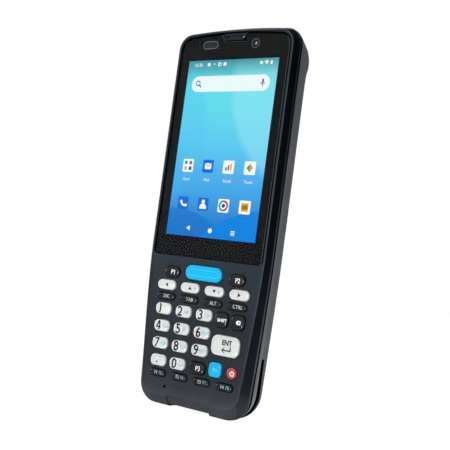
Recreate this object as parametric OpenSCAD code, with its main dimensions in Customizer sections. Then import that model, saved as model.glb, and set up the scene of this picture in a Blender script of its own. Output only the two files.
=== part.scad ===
// Portable barcode data terminal: a keypad handheld that stands on its lower end.
// +Z runs up the body, the screen and keys face -Y, and +X is the user's right.
// Depths are counted from the plane of the cover glass, towards the back.

/* [Body] */
// Height of the body, end to end
body_h = 186.8; // [185.8:0.2:188]
// Width of the body at the screen
body_w = 68; // [67.5:0.1:68.6]
// Half-width of the body across the lowest keys, at the parting line
foot_half_w = 31.7; // [31.4:0.1:32]
// Depth from the glass to the flat of the back
back_d = 17.6; // [17.4:0.1:18.2]
// Depth from the glass to the back of the scanner head
head_d = 19; // [18.8:0.1:20]
// Radius of the long edges of the back
edge_r = 6; // [5.8:0.1:6.4]
// Radius of the lower edge of the back
foot_r = 4; // [3:0.5:4.5]
// Depth of the parting line between the front and rear housings
part_d = 5.6; // [5.4:0.1:5.7]
// Width of the groove at the parting line
part_gap = 0.5; // [0.4:0.1:0.6]
// Wall thickness of both housings
wall = 1.8; // [1.6:0.1:1.8]

/* [Screen] */
// Width of the lit area of the 4.0 inch display
lit_w = 52.3; // [50:0.1:52.5]
// Height of the lit area
lit_h = 87.1; // [84:0.1:87.3]
// Height of the display's centre above the lower end
lit_z = 126; // [125.8:0.1:126.2]
// Thickness of the cover glass
glass_t = 1.1; // [0.7:0.1:1.1]
// Half-width of the cover glass
glass_half_w = 31.2; // [31:0.1:31.2]

/* [Keypad] */
// How far the caps stand out of the panel
cap_proud = 0.7; // [0.6:0.1:0.9]
// How far the scan key stands out
scan_proud = 1.2; // [1:0.1:1.3]
// Thickness of the panel around the keys
panel_t = 1.5; // [1.3:0.1:1.5]
// Gap between a cap and the edge of its hole
cap_gap = 0.25; // [0.2:0.05:0.3]
// Travel of a key
travel = 0.7; // [0.4:0.1:0.7]
// Width of the flange that keeps a key behind the panel
flange = 0.4; // [0.3:0.05:0.4]

/* [Battery] */
// Width of the battery
battery_w = 50; // [46:0.5:50]
// Height of the battery
battery_h = 80; // [70:1:80]
// Thickness of the battery
battery_t = 6.8; // [6:0.1:6.8]
// Lower edge of the battery door
door_z0 = 36; // [35:1:38]
// Upper edge of the battery door
door_z1 = 150; // [148:1:150]
// Depth at which the edge of the door meets the rear housing
door_d = 14.1; // [14:0.1:14.2]

/* [Scanner] */
// Width of the scan window
window_w = 30; // [24:0.5:32]
// Height of the scan window, along the slope of the head
window_h = 8.4; // [7:0.1:9]
// Width of the scan engine
engine_w = 22; // [18:0.5:22]

/* [Hidden] */
$fn = 48;

// Everything is shifted by this depth, so that the origin is under the middle of the body.
front_y = (scan_proud - head_d) / 2;

// Heights between which the sides draw in towards the foot.
taper_z = 76;
low_z = 14;
taper_power = 1.4;

// Outlines seen from the front: [half-width, half-width at low_z, bottom, top, lower radius,
// upper radius, drop of the arched top edge].
glass_line = [glass_half_w, glass_half_w, 72.4, body_h - 4.5, 1.5, 5.5, 0.8];
panel_line = [31.3, 26.3, 7.7, body_h - 4, 6, 6, 0.8];
rim_line = [33.2, 28.9, 4.8, body_h - 3.2, 8.5, 7.5, 0.7];
brow_line = [body_w / 2 - 0.1, foot_half_w - 0.6, 0.3, body_h - 2, 9.5, 8, 0.9];
body_line = [body_w / 2, foot_half_w, 0, body_h - 0.9, 11, 8.7, 1];
rear_line = [body_w / 2, foot_half_w + 0.8, 0, body_h, 14, 10, 1.2];
rim = 0.3;
brow_d = 2;
arch_ref = 27;

// Receiver notch in the upper edge of the glass.
notch_z = 178.4;
notch = [[-5.3, notch_z], [5.3, notch_z], [12, body_h + 1], [-12, body_h + 1]];
slot = [[-4.6, notch_z + 0.6], [4.6, notch_z + 0.6], [6.5, 182], [-6.5, 182]];
slot_mid_z = 180.5;
grille_fit = 0.98;
slot_d = 0.7;

// Screen stack.
lcd_half_w = lit_w / 2 + 1.4;
lcd_z0 = lit_z - lit_h / 2 - 2.8;
lcd_z1 = lit_z + lit_h / 2 + 2.8;
lcd_d0 = glass_t;
lcd_d1 = lcd_d0 + 2.1;
shelf_d = 2.6;
rib_z0 = 70.5;
rib_z1 = 73.5;

// Things set in and behind the upper border of the glass.
camera_at = [12, 177];
camera_r = 2.6;
sensor_at = [-14.3, 177.2];
sensor_size = [9.2, 4.2];
mic_at = [-14.1, 9.2];

// Keypad stack.
flange_d0 = panel_t + 0.4;
flange_t = 0.6;
boss_d = flange_d0 + flange_t + travel + 0.3;
mat_d = boss_d + 0.3;
mat_t = 0.6;
dome_t = 0.2;
board_t = 0.9;

// Key sizes: [width, height, corner radius, proud].
number_cap = [9.25, 5.5, 2.25, cap_proud];
arrow_cap = [10.9, 4.7, 2.25, cap_proud];
slim_cap = [10.6, 3.3, 1.6, cap_proud - 0.1];
foot_cap = [9.2, 3.2, 1.55, cap_proud - 0.1];
square_cap = [7.1, 6.9, 2.1, cap_proud];
side_cap = [9, 5.2, 2.5, cap_proud];
scan_cap = [21.1, 6.9, 3.4, scan_proud];
enter_cap = [15.6, 9.4, 3.2, cap_proud];
power_cap = [5.4, 5.4, 2.65, cap_proud];

silver = "gainsboro";
black = "#1c1e22";
blue = "deepskyblue";
red = "indianred";

// The number block: its columns draw together a little from row to row.
column3_x = 3.1;
column_pitch = 12.2;
column_shrink = 0.18;
row1_z = 46.3;
row_pitch = 8.32;
function number_x(col, row) = column3_x - (2 - col) * (column_pitch - column_shrink * row);
function number_z(row) = row1_z - row * row_pitch;

// Keys: [name, x, z, cap, colour]. The whole pad sits a little off the middle.
pad_x = 0.5;
pad_z = -0.25;
number_names = [["1", "2", "3"], ["4", "5", "6"], ["7", "8", "9"]];
slim_names = ["esc", "tab", "alt", "ctrl"];
arrow_names = ["left", "up", "down", "right"];
arrow_pitch = 14.2;
slim_pitch = 13.9;
foot_pitch = 13.1;
KEY_ROWS = concat(
    [["p1", -18.9, 64.6, side_cap, black], ["p2", 18.9, 64.6, side_cap, black]],
    [["scan", 0, 65.6, scan_cap, blue]],
    [for (i = [0:3]) [arrow_names[i], (i - 1.5) * arrow_pitch, 58, arrow_cap, silver]],
    [for (i = [0:3]) [slim_names[i], (i - 1.5) * slim_pitch, 52.5, slim_cap, black]],
    [for (r = [0:2], c = [0:2]) [number_names[r][c], number_x(c, r), number_z(r), number_cap, silver]],
    [["dot", number_x(0, 3), number_z(3), number_cap, silver]],
    [["0", number_x(1, 3), number_z(3), number_cap, silver]],
    [["p3", number_x(2, 3), number_z(3), number_cap, black]],
    [["shift", 13.4, 45.5, square_cap, black], ["backspace", 22.5, 45.5, square_cap, black]],
    [["enter", 17.3, 33.9, enter_cap, silver]],
    [["fn", 13.4, 22.3, square_cap, blue], ["power", 22.6, 22.3, power_cap, red]],
    [for (i = [0:3]) [str("f", i + 1), (i - 1.5) * foot_pitch, 15.4, foot_cap, black]]
);
KEYS = [for (k = KEY_ROWS) [k[0], k[1] + pad_x, k[2] + pad_z, k[3], k[4]]];

// Battery bay.
battery_z0 = 58;
bay_gap = 0.3;
bay_wall = 1;
floor_d = 7.2;
battery_d0 = floor_d + bay_wall;
door_t = 1.5;
door_gap = 0.3;
deck_d = 12.4;
door_pin = [body_w / 2 - 1.2, door_d + 0.5];
door_pin_r = 0.4;
tab_z = [[52, 60], [126, 134]];
finger_z = [89, 100];

// Scanner head: its upper back corner is cut by a slope at which depth + height is constant.
head_z = 164;
ramp = 4.5;
slope_sum = body_h + 6.4;
slope_mid = [12.6, slope_sum - 12.6];
slope_r = 7;

// Lower end: two feet with a shallow recess between them.
recess_half_w = 12.3;
recess_h = 0.95;
recess_d = 0.6;
usb_size = [8.9, 3.2];
usb_d = 9.8;
usb_z0 = 1.2;
usb_len = 7.3;

// Hand strap slots, low on both sides.
strap_d = [8.4, 10.8];
strap_z = 30;
strap_depth = 2.6;
strap_x = 19;

// Loudspeaker and its holes.
speaker_z = 21;
speaker_size = [18, 14];
speaker_d = [back_d - wall - 3.1, back_d - wall];

// Rear camera plate.
plate_z = 157;
plate_size = [24, 9];
lens_x = -5;
flash_x = 7;

// Screws, at [x, z], with a seat for the head at the same depth.
top_screw = [26.4, 156];
mid_screw = [29, 84];
foot_screw = [22, 9.2];
SCREWS = [for (s = [top_screw, mid_screw, foot_screw], sx = [1, -1]) [sx * s[0], s[1]]];
seat_d = 11.5;
screw_r = 1;
screw_head_r = 1.9;
head_t = 1.4;
boss_r = 2.6;
rear_boss_r = 3.3;

// Middle frame, which carries the boards and the scan engine.
frame_d = [3.4, 4.3];
board_d = frame_d[1] + 0.8;
cards_z = [76, 92];

// Connector board.
connector_d = [usb_d + usb_size[1] / 2, usb_d + usb_size[1] / 2 + 0.8];

fixed_nodes = [
    "front_housing", "rear_housing", "housing_gasket", "mid_frame", "cover_glass", "lcd_module",
    "receiver_grille", "earpiece", "front_camera", "sensor_window", "microphone", "keypad_mat",
    "dome_sheet", "keypad_board", "main_board", "card_holder", "scan_engine", "scan_window",
    "rear_camera", "camera_window", "loudspeaker", "vibration_motor", "battery",
    "battery_contacts", "battery_door", "usb_socket", "connector_board", "housing_screws"
];

// Half-width of an outline at height z.
function half_w(s, z) = s[0] - (s[0] - s[1]) * pow(max(0, (taper_z - z) / (taper_z - low_z)), taper_power);

// Height of the arched top edge at x.
function arch_z(s, x, i) = s[3] - i - s[6] * pow(x / arch_ref, 2);

// Right half of an outline, drawn in by i, and by ib at its lower edge.
function outline_half(s, i, ib) =
    let(rb = max(s[4] - i, 1.2), rt = max(s[5] - i, 1.2), z1 = s[2] + ib + rb)
    let(xb = half_w(s, z1) - i - rb, xt = s[0] - i - rt, z2 = arch_z(s, xt, i) - rt)
    let(zt = max(taper_z, z1 + 1))
    concat(
        [for (a = [-90:15:-15]) [xb + rb * cos(a), z1 + rb * sin(a)]],
        [for (k = [0:5]) let(z = z1 + (zt - z1) * k / 5) [half_w(s, z) - i, z]],
        [for (a = [0:15:75]) [xt + rt * cos(a), z2 + rt * sin(a)]],
        [for (k = [0:2]) let(x = xt * (3 - k) / 3) [x, arch_z(s, x, i)]]
    );

// The whole outline as a closed loop.
function outline(s, i = 0, ib = undef) =
    let(h = outline_half(s, i, is_undef(ib) ? i : ib), n = len(h))
    concat(h, [[0, arch_z(s, 0, i)]], [for (k = [n - 1:-1:0]) [-h[k][0], h[k][1]]]);

// Rectangle with rounded corners, each of five short sides.
function round_box(w, h, r) = [
    for (q = [0:3], i = [0:5])
        let(a = 90 * q + 18 * i, sx = (q == 0 || q == 3) ? 1 : -1, sz = q < 2 ? 1 : -1)
            [sx * (w / 2 - r) + r * cos(a), sz * (h / 2 - r) + r * sin(a)]
];

// Children drawn in the front view, made solid from depth d0 to depth d1.
module slab(d0, d1) {
    translate([0, front_y + d1, 0])
        rotate([90, 0, 0])
            linear_extrude(d1 - d0) children();
}

// Children drawn in the side view, as [depth, height], made solid from x0 to x1.
module bar(x0, x1) {
    translate([x0, front_y, 0])
        rotate([90, 0, 90])
            linear_extrude(x1 - x0) children();
}

// A box from x0 to x1, from depth d0 to d1 and from z0 to z1.
module block(x0, x1, d0, d1, z0, z1) {
    translate([x0, front_y + d0, z0])
        cube([x1 - x0, d1 - d0, z1 - z0]);
}

// A round rod or hole along the depth, at [x, z].
module rod(at, r, d0, d1) {
    translate([at[0], front_y + d1, at[1]])
        rotate([90, 0, 0])
            cylinder(r = r, h = d1 - d0);
}

// An oblong with round ends, w long and h high, at [x, z].
module oblong(at, w, h, d0, d1) {
    for (sx = [-1, 1])
        rod([at[0] + sx * (w - h) / 2, at[1]], h / 2, d0, d1);
    block(at[0] - (w - h) / 2, at[0] + (w - h) / 2, d0, d1, at[1] - h / 2, at[1] + h / 2);
}

// Between two heights, the part of an outline.
module band(points, z0, z1) {
    intersection() {
        polygon(points);
        translate([-body_w, z0])
            square([2 * body_w, z1 - z0]);
    }
}

// Slabs whose hull is the rear of the body with its edges rounded, up to depth d.
module rounded_back(d, z0, z1, i = 0) {
    r = edge_r - i;
    slab(part_d, part_d + 0.05)
        band(outline(body_line, i), z0, z1);
    slab(strap_d[0], d - r)
        band(outline(rear_line, i), z0, z1);
    for (a = [18:18:90])
        slab(d - r + r * sin(a) - 0.05, d - r + r * sin(a))
            band(outline(rear_line, i + r * (1 - cos(a)), i + foot_r * (1 - cos(a))), z0, z1);
}

// Outline of the head where the slope cuts it at depth d.
function slope_line(d) = [body_w / 2, body_w / 2, 0, slope_sum - d, 1, slope_r, 0];

// Slabs whose hull is the scanner head above height z0, drawn in by i.
module rounded_head(z0, i = 0) {
    r = edge_r - i;
    slab(part_d, part_d + part_gap + 0.2)
        band(outline(rear_line, i), z0, body_h);
    for (d = [9, head_d - edge_r])
        slab(d - i - 0.05, d - i)
            band(outline(slope_line(d), i), z0, body_h);
    for (a = [18:18:90])
        slab(head_d - edge_r + r * sin(a) - 0.05, head_d - edge_r + r * sin(a))
            band(outline(slope_line(head_d - edge_r + r * sin(a)), i + r * (1 - cos(a)), 0), z0, body_h);
}

// The solid outside of the front housing, with a rim that stands a little proud of the face.
module front_form() {
    difference() {
        hull() {
            slab(-rim, 0.05 - rim) polygon(outline(rim_line));
            slab(brow_d, brow_d + 0.05) polygon(outline(brow_line));
            slab(part_d - 0.8, part_d) polygon(outline(body_line));
        }
        hull() {
            slab(-rim - 0.05, -rim) polygon(outline(rim_line, 0.3));
            slab(-0.05, 0) polygon(outline(panel_line));
        }
    }
}

// Shallow recess between the two feet.
module foot_recess() {
    block(-recess_half_w, recess_half_w, -1, head_d + 1, -1, recess_h);
}

// Children placed on the slope, with their own Z pointing out of it.
module on_slope() {
    translate([0, front_y + slope_mid[0], slope_mid[1]])
        rotate([-45, 0, 0]) children();
}

// The solid outside of everything behind the parting line.
module back_form() {
    difference() {
        union() {
            hull() rounded_back(back_d, 0, head_z + ramp);
            hull() {
                rounded_back(back_d - 0.4, head_z, head_z + 0.5, 0.4);
                rounded_head(head_z + ramp - 1);
            }
        }
        block(-body_w, body_w, 0, part_d + part_gap, -1, body_h + 1);
    }
}

module key_holes() {
    for (k = KEYS)
        translate([k[1], 0, k[2]])
            slab(-1, panel_t + 1)
                polygon(round_box(k[3][0] + 2 * cap_gap, k[3][1] + 2 * cap_gap, k[3][2] + cap_gap));
}

module front_housing() {
    color("#2b2e33")
        difference() {
            front_form();
            // step that marks off the middle of the lower end
            difference() {
                block(-recess_half_w, recess_half_w, -1, part_d + 1, -1, panel_line[2] - 0.4);
                translate([0, recess_d, recess_h]) front_form();
            }
            // hollow behind the keys
            hull() {
                slab(panel_t, panel_t + 0.05) band(outline(panel_line, 1), 0, rib_z0);
                slab(part_d + 0.05, part_d + 0.1) band(outline(body_line, wall), 0, rib_z0);
            }
            // hollow behind the screen
            slab(shelf_d, part_d + 0.1) band(outline(body_line, wall), rib_z1, body_h);
            // seat of the glass, and the window that the display looks through
            difference() {
                slab(-1, glass_t + 0.05) polygon(outline(glass_line, -0.1));
                slab(-2, glass_t + 0.1) polygon(notch);
            }
            block(-lcd_half_w - 0.4, lcd_half_w + 0.4, 0, shelf_d + 0.1, lcd_z0 - 0.4, lcd_z1 + 0.4);
            // receiver, camera, sensor and microphone
            slab(-1, slot_d) polygon(slot);
            oblong([0, 180.6], 8.4, 2, 0, part_d - 1);
            rod(camera_at, camera_r + 0.3, 0, part_d - 1);
            oblong(sensor_at, sensor_size[0] + 0.3, sensor_size[1] + 0.3, 0, part_d - 1);
            rod(mic_at, 0.6, -1, part_d - 1);
            rod(mic_at, 2.2, panel_t, part_d + 0.1);
            key_holes();
            for (s = SCREWS)
                if (s[1] < low_z)
                    rod(s, screw_r + 0.05, panel_t + 0.9, part_d + 0.1);
        }
}

module rear_housing() {
    bay_x = battery_w / 2 + bay_gap;
    bay_z0 = battery_z0 - bay_gap;
    bay_z1 = battery_z0 + battery_h + bay_gap;
    color("#3a3d42")
        difference() {
            union() {
                difference() {
                    back_form();
                    // hollow of the shell, kept shallow under the deck that the door covers
                    difference() {
                        union() {
                            hull() rounded_back(back_d - wall, wall, head_z + ramp, wall);
                            hull() rounded_head(head_z + ramp - 2, wall);
                        }
                        block(-body_w, body_w, deck_d, head_d, door_z0 - wall, door_z1 + wall);
                    }
                    // room for the door
                    block(-body_w, body_w, door_d, head_d + 1, door_z0, door_z1);
                }
                // walls of the battery bay
                block(-bay_x - bay_wall, bay_x + bay_wall, floor_d, deck_d + 0.4,
                      bay_z0 - bay_wall, bay_z1 + bay_wall + 2.4);
                // screw bosses
                for (s = SCREWS)
                    rod(s, rear_boss_r, part_d + part_gap, s[1] == mid_screw[1] ? deck_d + 0.4 : back_d - 1);
                // solid lugs around the strap slots
                slab(strap_d[0] - 1.6, strap_d[1] + 1.6)
                    difference() {
                        band(outline(body_line, 0.4), 0.4, strap_z + 2);
                        polygon(outline(body_line, strap_depth + 1.6));
                        translate([2 - strap_x, -1])
                            square([2 * (strap_x - 2), strap_z]);
                    }
            }
            foot_recess();
            // battery bay, contact recess and card window
            block(-bay_x, bay_x, floor_d + bay_wall, head_d, bay_z0, bay_z1);
            block(-8.3, 8.3, floor_d + bay_wall, head_d, bay_z1 - 1, bay_z1 + 2.4);
            block(-13, 13, floor_d - 1, floor_d + bay_wall + 1, cards_z[0] - 1, cards_z[1] + 1);
            // pockets for the door tabs, and the notch for a finger nail
            for (t = tab_z)
                block(-door_pin[0] + 0.6, -door_pin[0] + 3.3, deck_d - 0.1, door_d + 1,
                      t[0] - 0.4, t[1] + 0.4);
            block(body_w / 2 - 2, body_w, door_d - 1.5, door_d + 1, finger_z[0], finger_z[1]);
            // strap slots, open at the sides and round the lower corners
            for (sx = [-1, 1])
                slab(strap_d[0], strap_d[1])
                    difference() {
                        translate([sx * (strap_x + body_w) / 2 - (body_w - strap_x) / 2, -1])
                            square([body_w - strap_x, strap_z + 1]);
                        polygon(outline(body_line, strap_depth));
                    }
            // scan window seat and opening
            on_slope() {
                translate([-window_w / 2 - 0.1, -window_h / 2 - 0.1, -1.3])
                    cube([window_w + 0.2, window_h + 0.2, 4]);
                translate([-window_w / 2 + 1.5, -window_h / 2 + 1, -6])
                    cube([window_w - 3, window_h - 2, 8]);
            }
            // camera plate and lens, loudspeaker holes, connector
            translate([0, 0, plate_z])
                slab(back_d - 0.8, head_d) polygon(round_box(plate_size[0] + 0.2, plate_size[1] + 0.2, 3.1));
            rod([lens_x, plate_z], 3.6, 10, head_d);
            rod([flash_x, plate_z], 1.8, 10, head_d);
            for (ix = [-2:2], iz = [-1:1])
                rod([ix * 3, speaker_z + iz * 3], 0.7, speaker_d[1] - 0.5, head_d);
            block(-usb_size[0] / 2 - 0.1, usb_size[0] / 2 + 0.1, usb_d - usb_size[1] / 2 - 0.1,
                  usb_d + usb_size[1] / 2 + 0.1, -1, wall + 0.1);
            // screws
            for (s = SCREWS) {
                rod(s, screw_r + 0.15, part_d, seat_d + 1);
                rod(s, screw_head_r + 0.3, seat_d, head_d);
            }
        }
}

module housing_gasket() {
    color("#101113")
        slab(part_d, part_d + part_gap)
            difference() {
                polygon(outline(body_line, 0.5, recess_h + 0.3));
                polygon(outline(body_line, wall, recess_h + wall - 0.2));
            }
}

module mid_frame() {
    color("silver")
        difference() {
            union() {
                slab(frame_d[0], frame_d[1]) band(outline(body_line, wall + 0.6), rib_z1 + 1, body_h);
                for (s = SCREWS)
                    if (s[1] > rib_z1)
                        rod(s, boss_r, frame_d[1] - 0.1, part_d + part_gap);
            }
            for (s = SCREWS)
                if (s[1] > rib_z1)
                    rod(s, screw_r + 0.05, 3, part_d + 1);
            rod(camera_at, camera_r + 0.4, 3, part_d);
        }
}

module cover_glass() {
    color("#15171a")
        slab(0, glass_t)
            difference() {
                polygon(outline(glass_line));
                polygon([for (p = notch) [p[0] * 1.02, p[1] - 0.1]]);
            }
}

module lcd_module() {
    color("steelblue")
        block(-lcd_half_w, lcd_half_w, lcd_d0, lcd_d1, lcd_z0, lcd_z1);
}

module receiver_grille() {
    color("#0e0f11")
        difference() {
            slab(0.15, slot_d)
                polygon([for (p = slot) [p[0] * grille_fit, slot_mid_z + (p[1] - slot_mid_z) * grille_fit]]);
            // slit over the earpiece, with two bars left across it
            for (x = [-2.8, 0, 2.8])
                block(x - 1.2, x + 1.2, 0, slot_d + 1, slot_mid_z - 0.6, slot_mid_z + 0.6);
        }
}

module earpiece() {
    color("dimgray")
        oblong([0, 180.6], 8, 1.8, slot_d + 0.1, shelf_d + 0.4);
}

module front_camera() {
    color("black")
        difference() {
            rod(camera_at, camera_r, lcd_d0, frame_d[1] - 0.1);
            rod(camera_at, 1.2, 0, 1.7);
        }
}

module sensor_window() {
    color("#26282c")
        oblong(sensor_at, sensor_size[0], sensor_size[1], lcd_d0, 2.4);
}

module microphone() {
    color("goldenrod")
        difference() {
            rod(mic_at, 2, panel_t, 3.2);
            rod(mic_at, 0.4, panel_t, 2.2);
        }
}

module keypad_mat() {
    color("slategray")
        union() {
            slab(mat_d, mat_d + mat_t)
                band(outline(panel_line, 1.4, 5), 0, rib_z0 - 0.6);
            for (k = KEYS)
                rod([k[1], k[2]], 1.5, boss_d, mat_d + mat_t / 2);
        }
}

module dome_sheet() {
    color("lightsteelblue")
        slab(mat_d + mat_t, mat_d + mat_t + dome_t)
            band(outline(panel_line, 2.4, 5.6), 0, rib_z0 - 1);
}

module keypad_board() {
    color("darkgreen")
        slab(mat_d + mat_t + dome_t, mat_d + mat_t + dome_t + board_t)
            band(outline(panel_line, 1.8, 5.3), 0, rib_z0 - 0.8);
}

module main_board() {
    color("darkgreen")
        union() {
            block(-23, 23, frame_d[1], board_d, 75, 160);
            // shielding cans
            block(-20, 4, board_d - 0.1, 6.6, 96, 124);
            block(-20, -2, board_d - 0.1, 6.4, 128, 150);
            block(4, 19, board_d - 0.1, 6.5, 130, 154);
        }
}

module card_holder() {
    color("silver")
        difference() {
            block(-12, 12, board_d, board_d + 1.6, cards_z[0], cards_z[1]);
            block(-10, 10, board_d + 0.8, board_d + 1.3, cards_z[0] - 1, cards_z[1] - 2);
        }
}

module scan_engine() {
    color("#202226")
        difference() {
            bar(-engine_w / 2, engine_w / 2)
                polygon([
                    [frame_d[1], 161.8], [15.6, 161.8], [15.6, slope_sum - 19.8],
                    [12.8, slope_sum - 17], [frame_d[1], slope_sum - 17]
                ]);
            // imager and aimer
            on_slope()
                for (c = [[-3.5, 2.3], [5.5, 1.3]])
                    translate([c[0], 2.4, -4.4])
                        cylinder(r = c[1], h = 4);
        }
}

module scan_window() {
    color("#3a0d10")
        on_slope()
            translate([-window_w / 2, -window_h / 2, -1.3])
                cube([window_w, window_h, 1.1]);
}

module rear_camera() {
    color("black")
        difference() {
            rod([lens_x, plate_z], 3.3, 10.4, back_d - 0.8);
            rod([lens_x, plate_z], 1.6, back_d - 2, back_d);
        }
}

module camera_window() {
    color("#0d0e10")
        translate([0, 0, plate_z])
            slab(back_d - 0.8, back_d - 0.1)
                polygon(round_box(plate_size[0], plate_size[1], 3));
}

module loudspeaker() {
    color("#18191c")
        translate([0, 0, speaker_z])
            slab(speaker_d[0], speaker_d[1])
                polygon(round_box(speaker_size[0], speaker_size[1], 2));
}

module vibration_motor() {
    color("silver")
        rod([20, 170], 4, frame_d[1], frame_d[1] + 3);
}

module battery() {
    color("#202124")
        block(-battery_w / 2, battery_w / 2, battery_d0, battery_d0 + battery_t,
              battery_z0, battery_z0 + battery_h);
}

module battery_contacts() {
    contact_z = battery_z0 + battery_h + 0.2;
    color("goldenrod")
        union() {
            block(-8, 8, floor_d + bay_wall, 11.8, contact_z + 0.4, contact_z + 2.4);
            for (i = [-2:2])
                block(i * 3 - 0.6, i * 3 + 0.6, 9.4, 10.8, contact_z, contact_z + 1);
        }
}

module battery_door() {
    color("#34373c")
        union() {
            difference() {
                intersection() {
                    hull() rounded_back(back_d, 0, head_z);
                    block(-body_w, body_w, door_d + 0.05, back_d + 1, door_z0 + door_gap, door_z1 - door_gap);
                }
                hull() rounded_back(back_d - door_t, door_z0 + door_t, door_z1 - door_t, door_t);
                block(-body_w, -door_pin[0], 0, door_pin[1], -1, body_h);
            }
            // round edge that it turns on
            translate([-door_pin[0], front_y + door_pin[1], door_z0 + door_gap])
                cylinder(r = door_pin_r, h = door_z1 - door_z0 - 2 * door_gap);
            // tabs that drop inside the left wall
            for (t = tab_z)
                block(-door_pin[0] + 0.9, -door_pin[0] + 2.1, deck_d + 0.3, door_d + 1.6, t[0], t[1]);
        }
}

module usb_socket() {
    r = usb_size[1] / 2;
    color("silver")
        translate([0, front_y + usb_d, usb_z0])
            difference() {
                union() {
                    for (sx = [-1, 1])
                        translate([sx * (usb_size[0] / 2 - r), 0, 0]) cylinder(r = r, h = usb_len);
                    translate([-usb_size[0] / 2 + r, -r, 0]) cube([usb_size[0] - 2 * r, 2 * r, usb_len]);
                }
                // mouth, with the tongue left standing in it
                difference() {
                    translate([-usb_size[0] / 2 + 0.5, -r + 0.3, -1])
                        cube([usb_size[0] - 1, 2 * r - 0.6, usb_len]);
                    translate([-3.3, -0.35, 0.6]) cube([6.6, 0.7, usb_len]);
                }
            }
}

module connector_board() {
    color("darkgreen")
        block(-13, 13, connector_d[0], connector_d[1], wall + 0.4, 12.6);
}

module housing_screws() {
    color("silver")
        for (s = SCREWS)
            difference() {
                union() {
                    rod(s, screw_head_r, seat_d, seat_d + head_t);
                    rod(s, screw_r, s[1] < low_z ? panel_t + 1.2 : 3.6, seat_d + 0.1);
                }
                rod(s, 0.8, seat_d + head_t - 0.8, seat_d + head_t + 1);
            }
}

module key(k) {
    cap = k[3];
    edge = 0.45;
    color(k[4])
        translate([k[1], 0, k[2]])
            union() {
                hull() {
                    slab(edge - cap[3], flange_d0 + 0.1)
                        polygon(round_box(cap[0], cap[1], cap[2]));
                    slab(-cap[3], 0.05 - cap[3])
                        polygon(round_box(cap[0] - 2 * edge, cap[1] - 2 * edge, cap[2] - edge));
                }
                slab(flange_d0, flange_d0 + flange_t)
                    polygon(round_box(cap[0] + 2 * flange, cap[1] + 2 * flange, cap[2] + flange));
            }
}

front_housing();
rear_housing();
housing_gasket();
mid_frame();
cover_glass();
lcd_module();
receiver_grille();
earpiece();
front_camera();
sensor_window();
microphone();
keypad_mat();
dome_sheet();
keypad_board();
main_board();
card_holder();
scan_engine();
scan_window();
rear_camera();
camera_window();
loudspeaker();
vibration_motor();
battery();
battery_contacts();
battery_door();
usb_socket();
connector_board();
housing_screws();
for (k = KEYS) {
    key(k);
}
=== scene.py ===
"""Looks of a portable barcode data terminal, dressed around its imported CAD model.

Sizes are in millimetres and become metres in at(). x runs to the user's right, z up the body,
and d is the depth behind the plane of the cover glass.
"""

import math

import bmesh
import bpy
from mathutils import Matrix, Vector


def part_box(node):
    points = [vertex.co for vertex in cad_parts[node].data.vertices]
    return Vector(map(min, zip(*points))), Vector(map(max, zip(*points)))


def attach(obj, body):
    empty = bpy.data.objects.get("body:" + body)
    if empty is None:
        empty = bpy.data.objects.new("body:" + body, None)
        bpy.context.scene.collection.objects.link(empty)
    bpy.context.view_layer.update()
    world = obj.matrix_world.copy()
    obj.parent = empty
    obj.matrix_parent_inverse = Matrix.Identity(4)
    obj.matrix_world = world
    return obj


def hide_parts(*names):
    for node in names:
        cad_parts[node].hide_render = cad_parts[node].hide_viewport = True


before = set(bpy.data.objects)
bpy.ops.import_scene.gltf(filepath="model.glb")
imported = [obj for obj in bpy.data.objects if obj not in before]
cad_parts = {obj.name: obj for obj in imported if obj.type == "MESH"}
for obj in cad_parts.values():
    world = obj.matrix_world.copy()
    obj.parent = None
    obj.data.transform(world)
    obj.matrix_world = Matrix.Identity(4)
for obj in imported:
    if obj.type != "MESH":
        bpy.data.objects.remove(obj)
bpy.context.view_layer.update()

# ---------------------------------------------------------------- sizes, from the frame

MM = 0.001
GLASS_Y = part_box("cover_glass")[0].y / MM
BODY_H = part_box("rear_housing")[1].z / MM
BODY_HALF_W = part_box("rear_housing")[1].x / MM
HEAD_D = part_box("rear_housing")[1].y / MM - GLASS_Y
BACK_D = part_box("battery_door")[1].y / MM - GLASS_Y
PART_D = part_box("front_housing")[1].y / MM - GLASS_Y
GASKET_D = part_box("housing_gasket")[1].y / MM - GLASS_Y
GLASS_HALF_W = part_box("cover_glass")[1].x / MM
GLASS_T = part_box("cover_glass")[1].y / MM - GLASS_Y
DOOR_Z = [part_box("battery_door")[0].z / MM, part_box("battery_door")[1].z / MM]
LCD_LOW, LCD_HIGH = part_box("lcd_module")

RIM = 0.3            # how far the rim round the face stands out of the glass plane
WALL = 1.8
EDGE_R = 6           # long edges of the back
FOOT_R = 4           # lower edge of the back
PANEL_T = 1.5
SHELF_D = 2.6
RIB_Z = [70.5, 73.5] # rib behind the face, between the keys' room and the screen's
EDGE_BAND = 1.2      # height of the edge strip in front of the parting groove, painted in shade and light
SCREEN = [52.3, 87.1, 126]      # lit width, lit height and height of its centre

# Outlines seen from the front: [half-width, half-width near the foot, bottom, top,
# lower corner radius, upper corner radius, drop of the arched top edge].
TAPER_Z = 76
LOW_Z = 14
TAPER_POWER = 1.4
ARCH_REF = 27
GLASS_LINE = [GLASS_HALF_W - 0.1, GLASS_HALF_W - 0.1, 72.4, BODY_H - 4.6, 1.5, 5.5, 1.5]
PANEL_LINE = [31.4, 26.3, 7.7, BODY_H - 4, 6, 6, 0.8]
RIM_LINE = [33.2, 28.9, 4.8, BODY_H - 3.2, 8.5, 7.5, 0.7]
BROW_LINE = [BODY_HALF_W - 0.1, 31.1, 0.3, BODY_H - 2, 9.5, 8, 0.9]
BODY_LINE = [BODY_HALF_W, 31.7, 0, BODY_H - 0.9, 11, 8.7, 1]
REAR_LINE = [BODY_HALF_W, 32.5, 0, BODY_H, 14, 10, 1.2]
BROW_D = 2
SLOPE_SUM = BODY_H + 6.4        # depth + height, the same all over the slope of the head
HEAD_Z = 164
HEAD_RISE = 4

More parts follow.
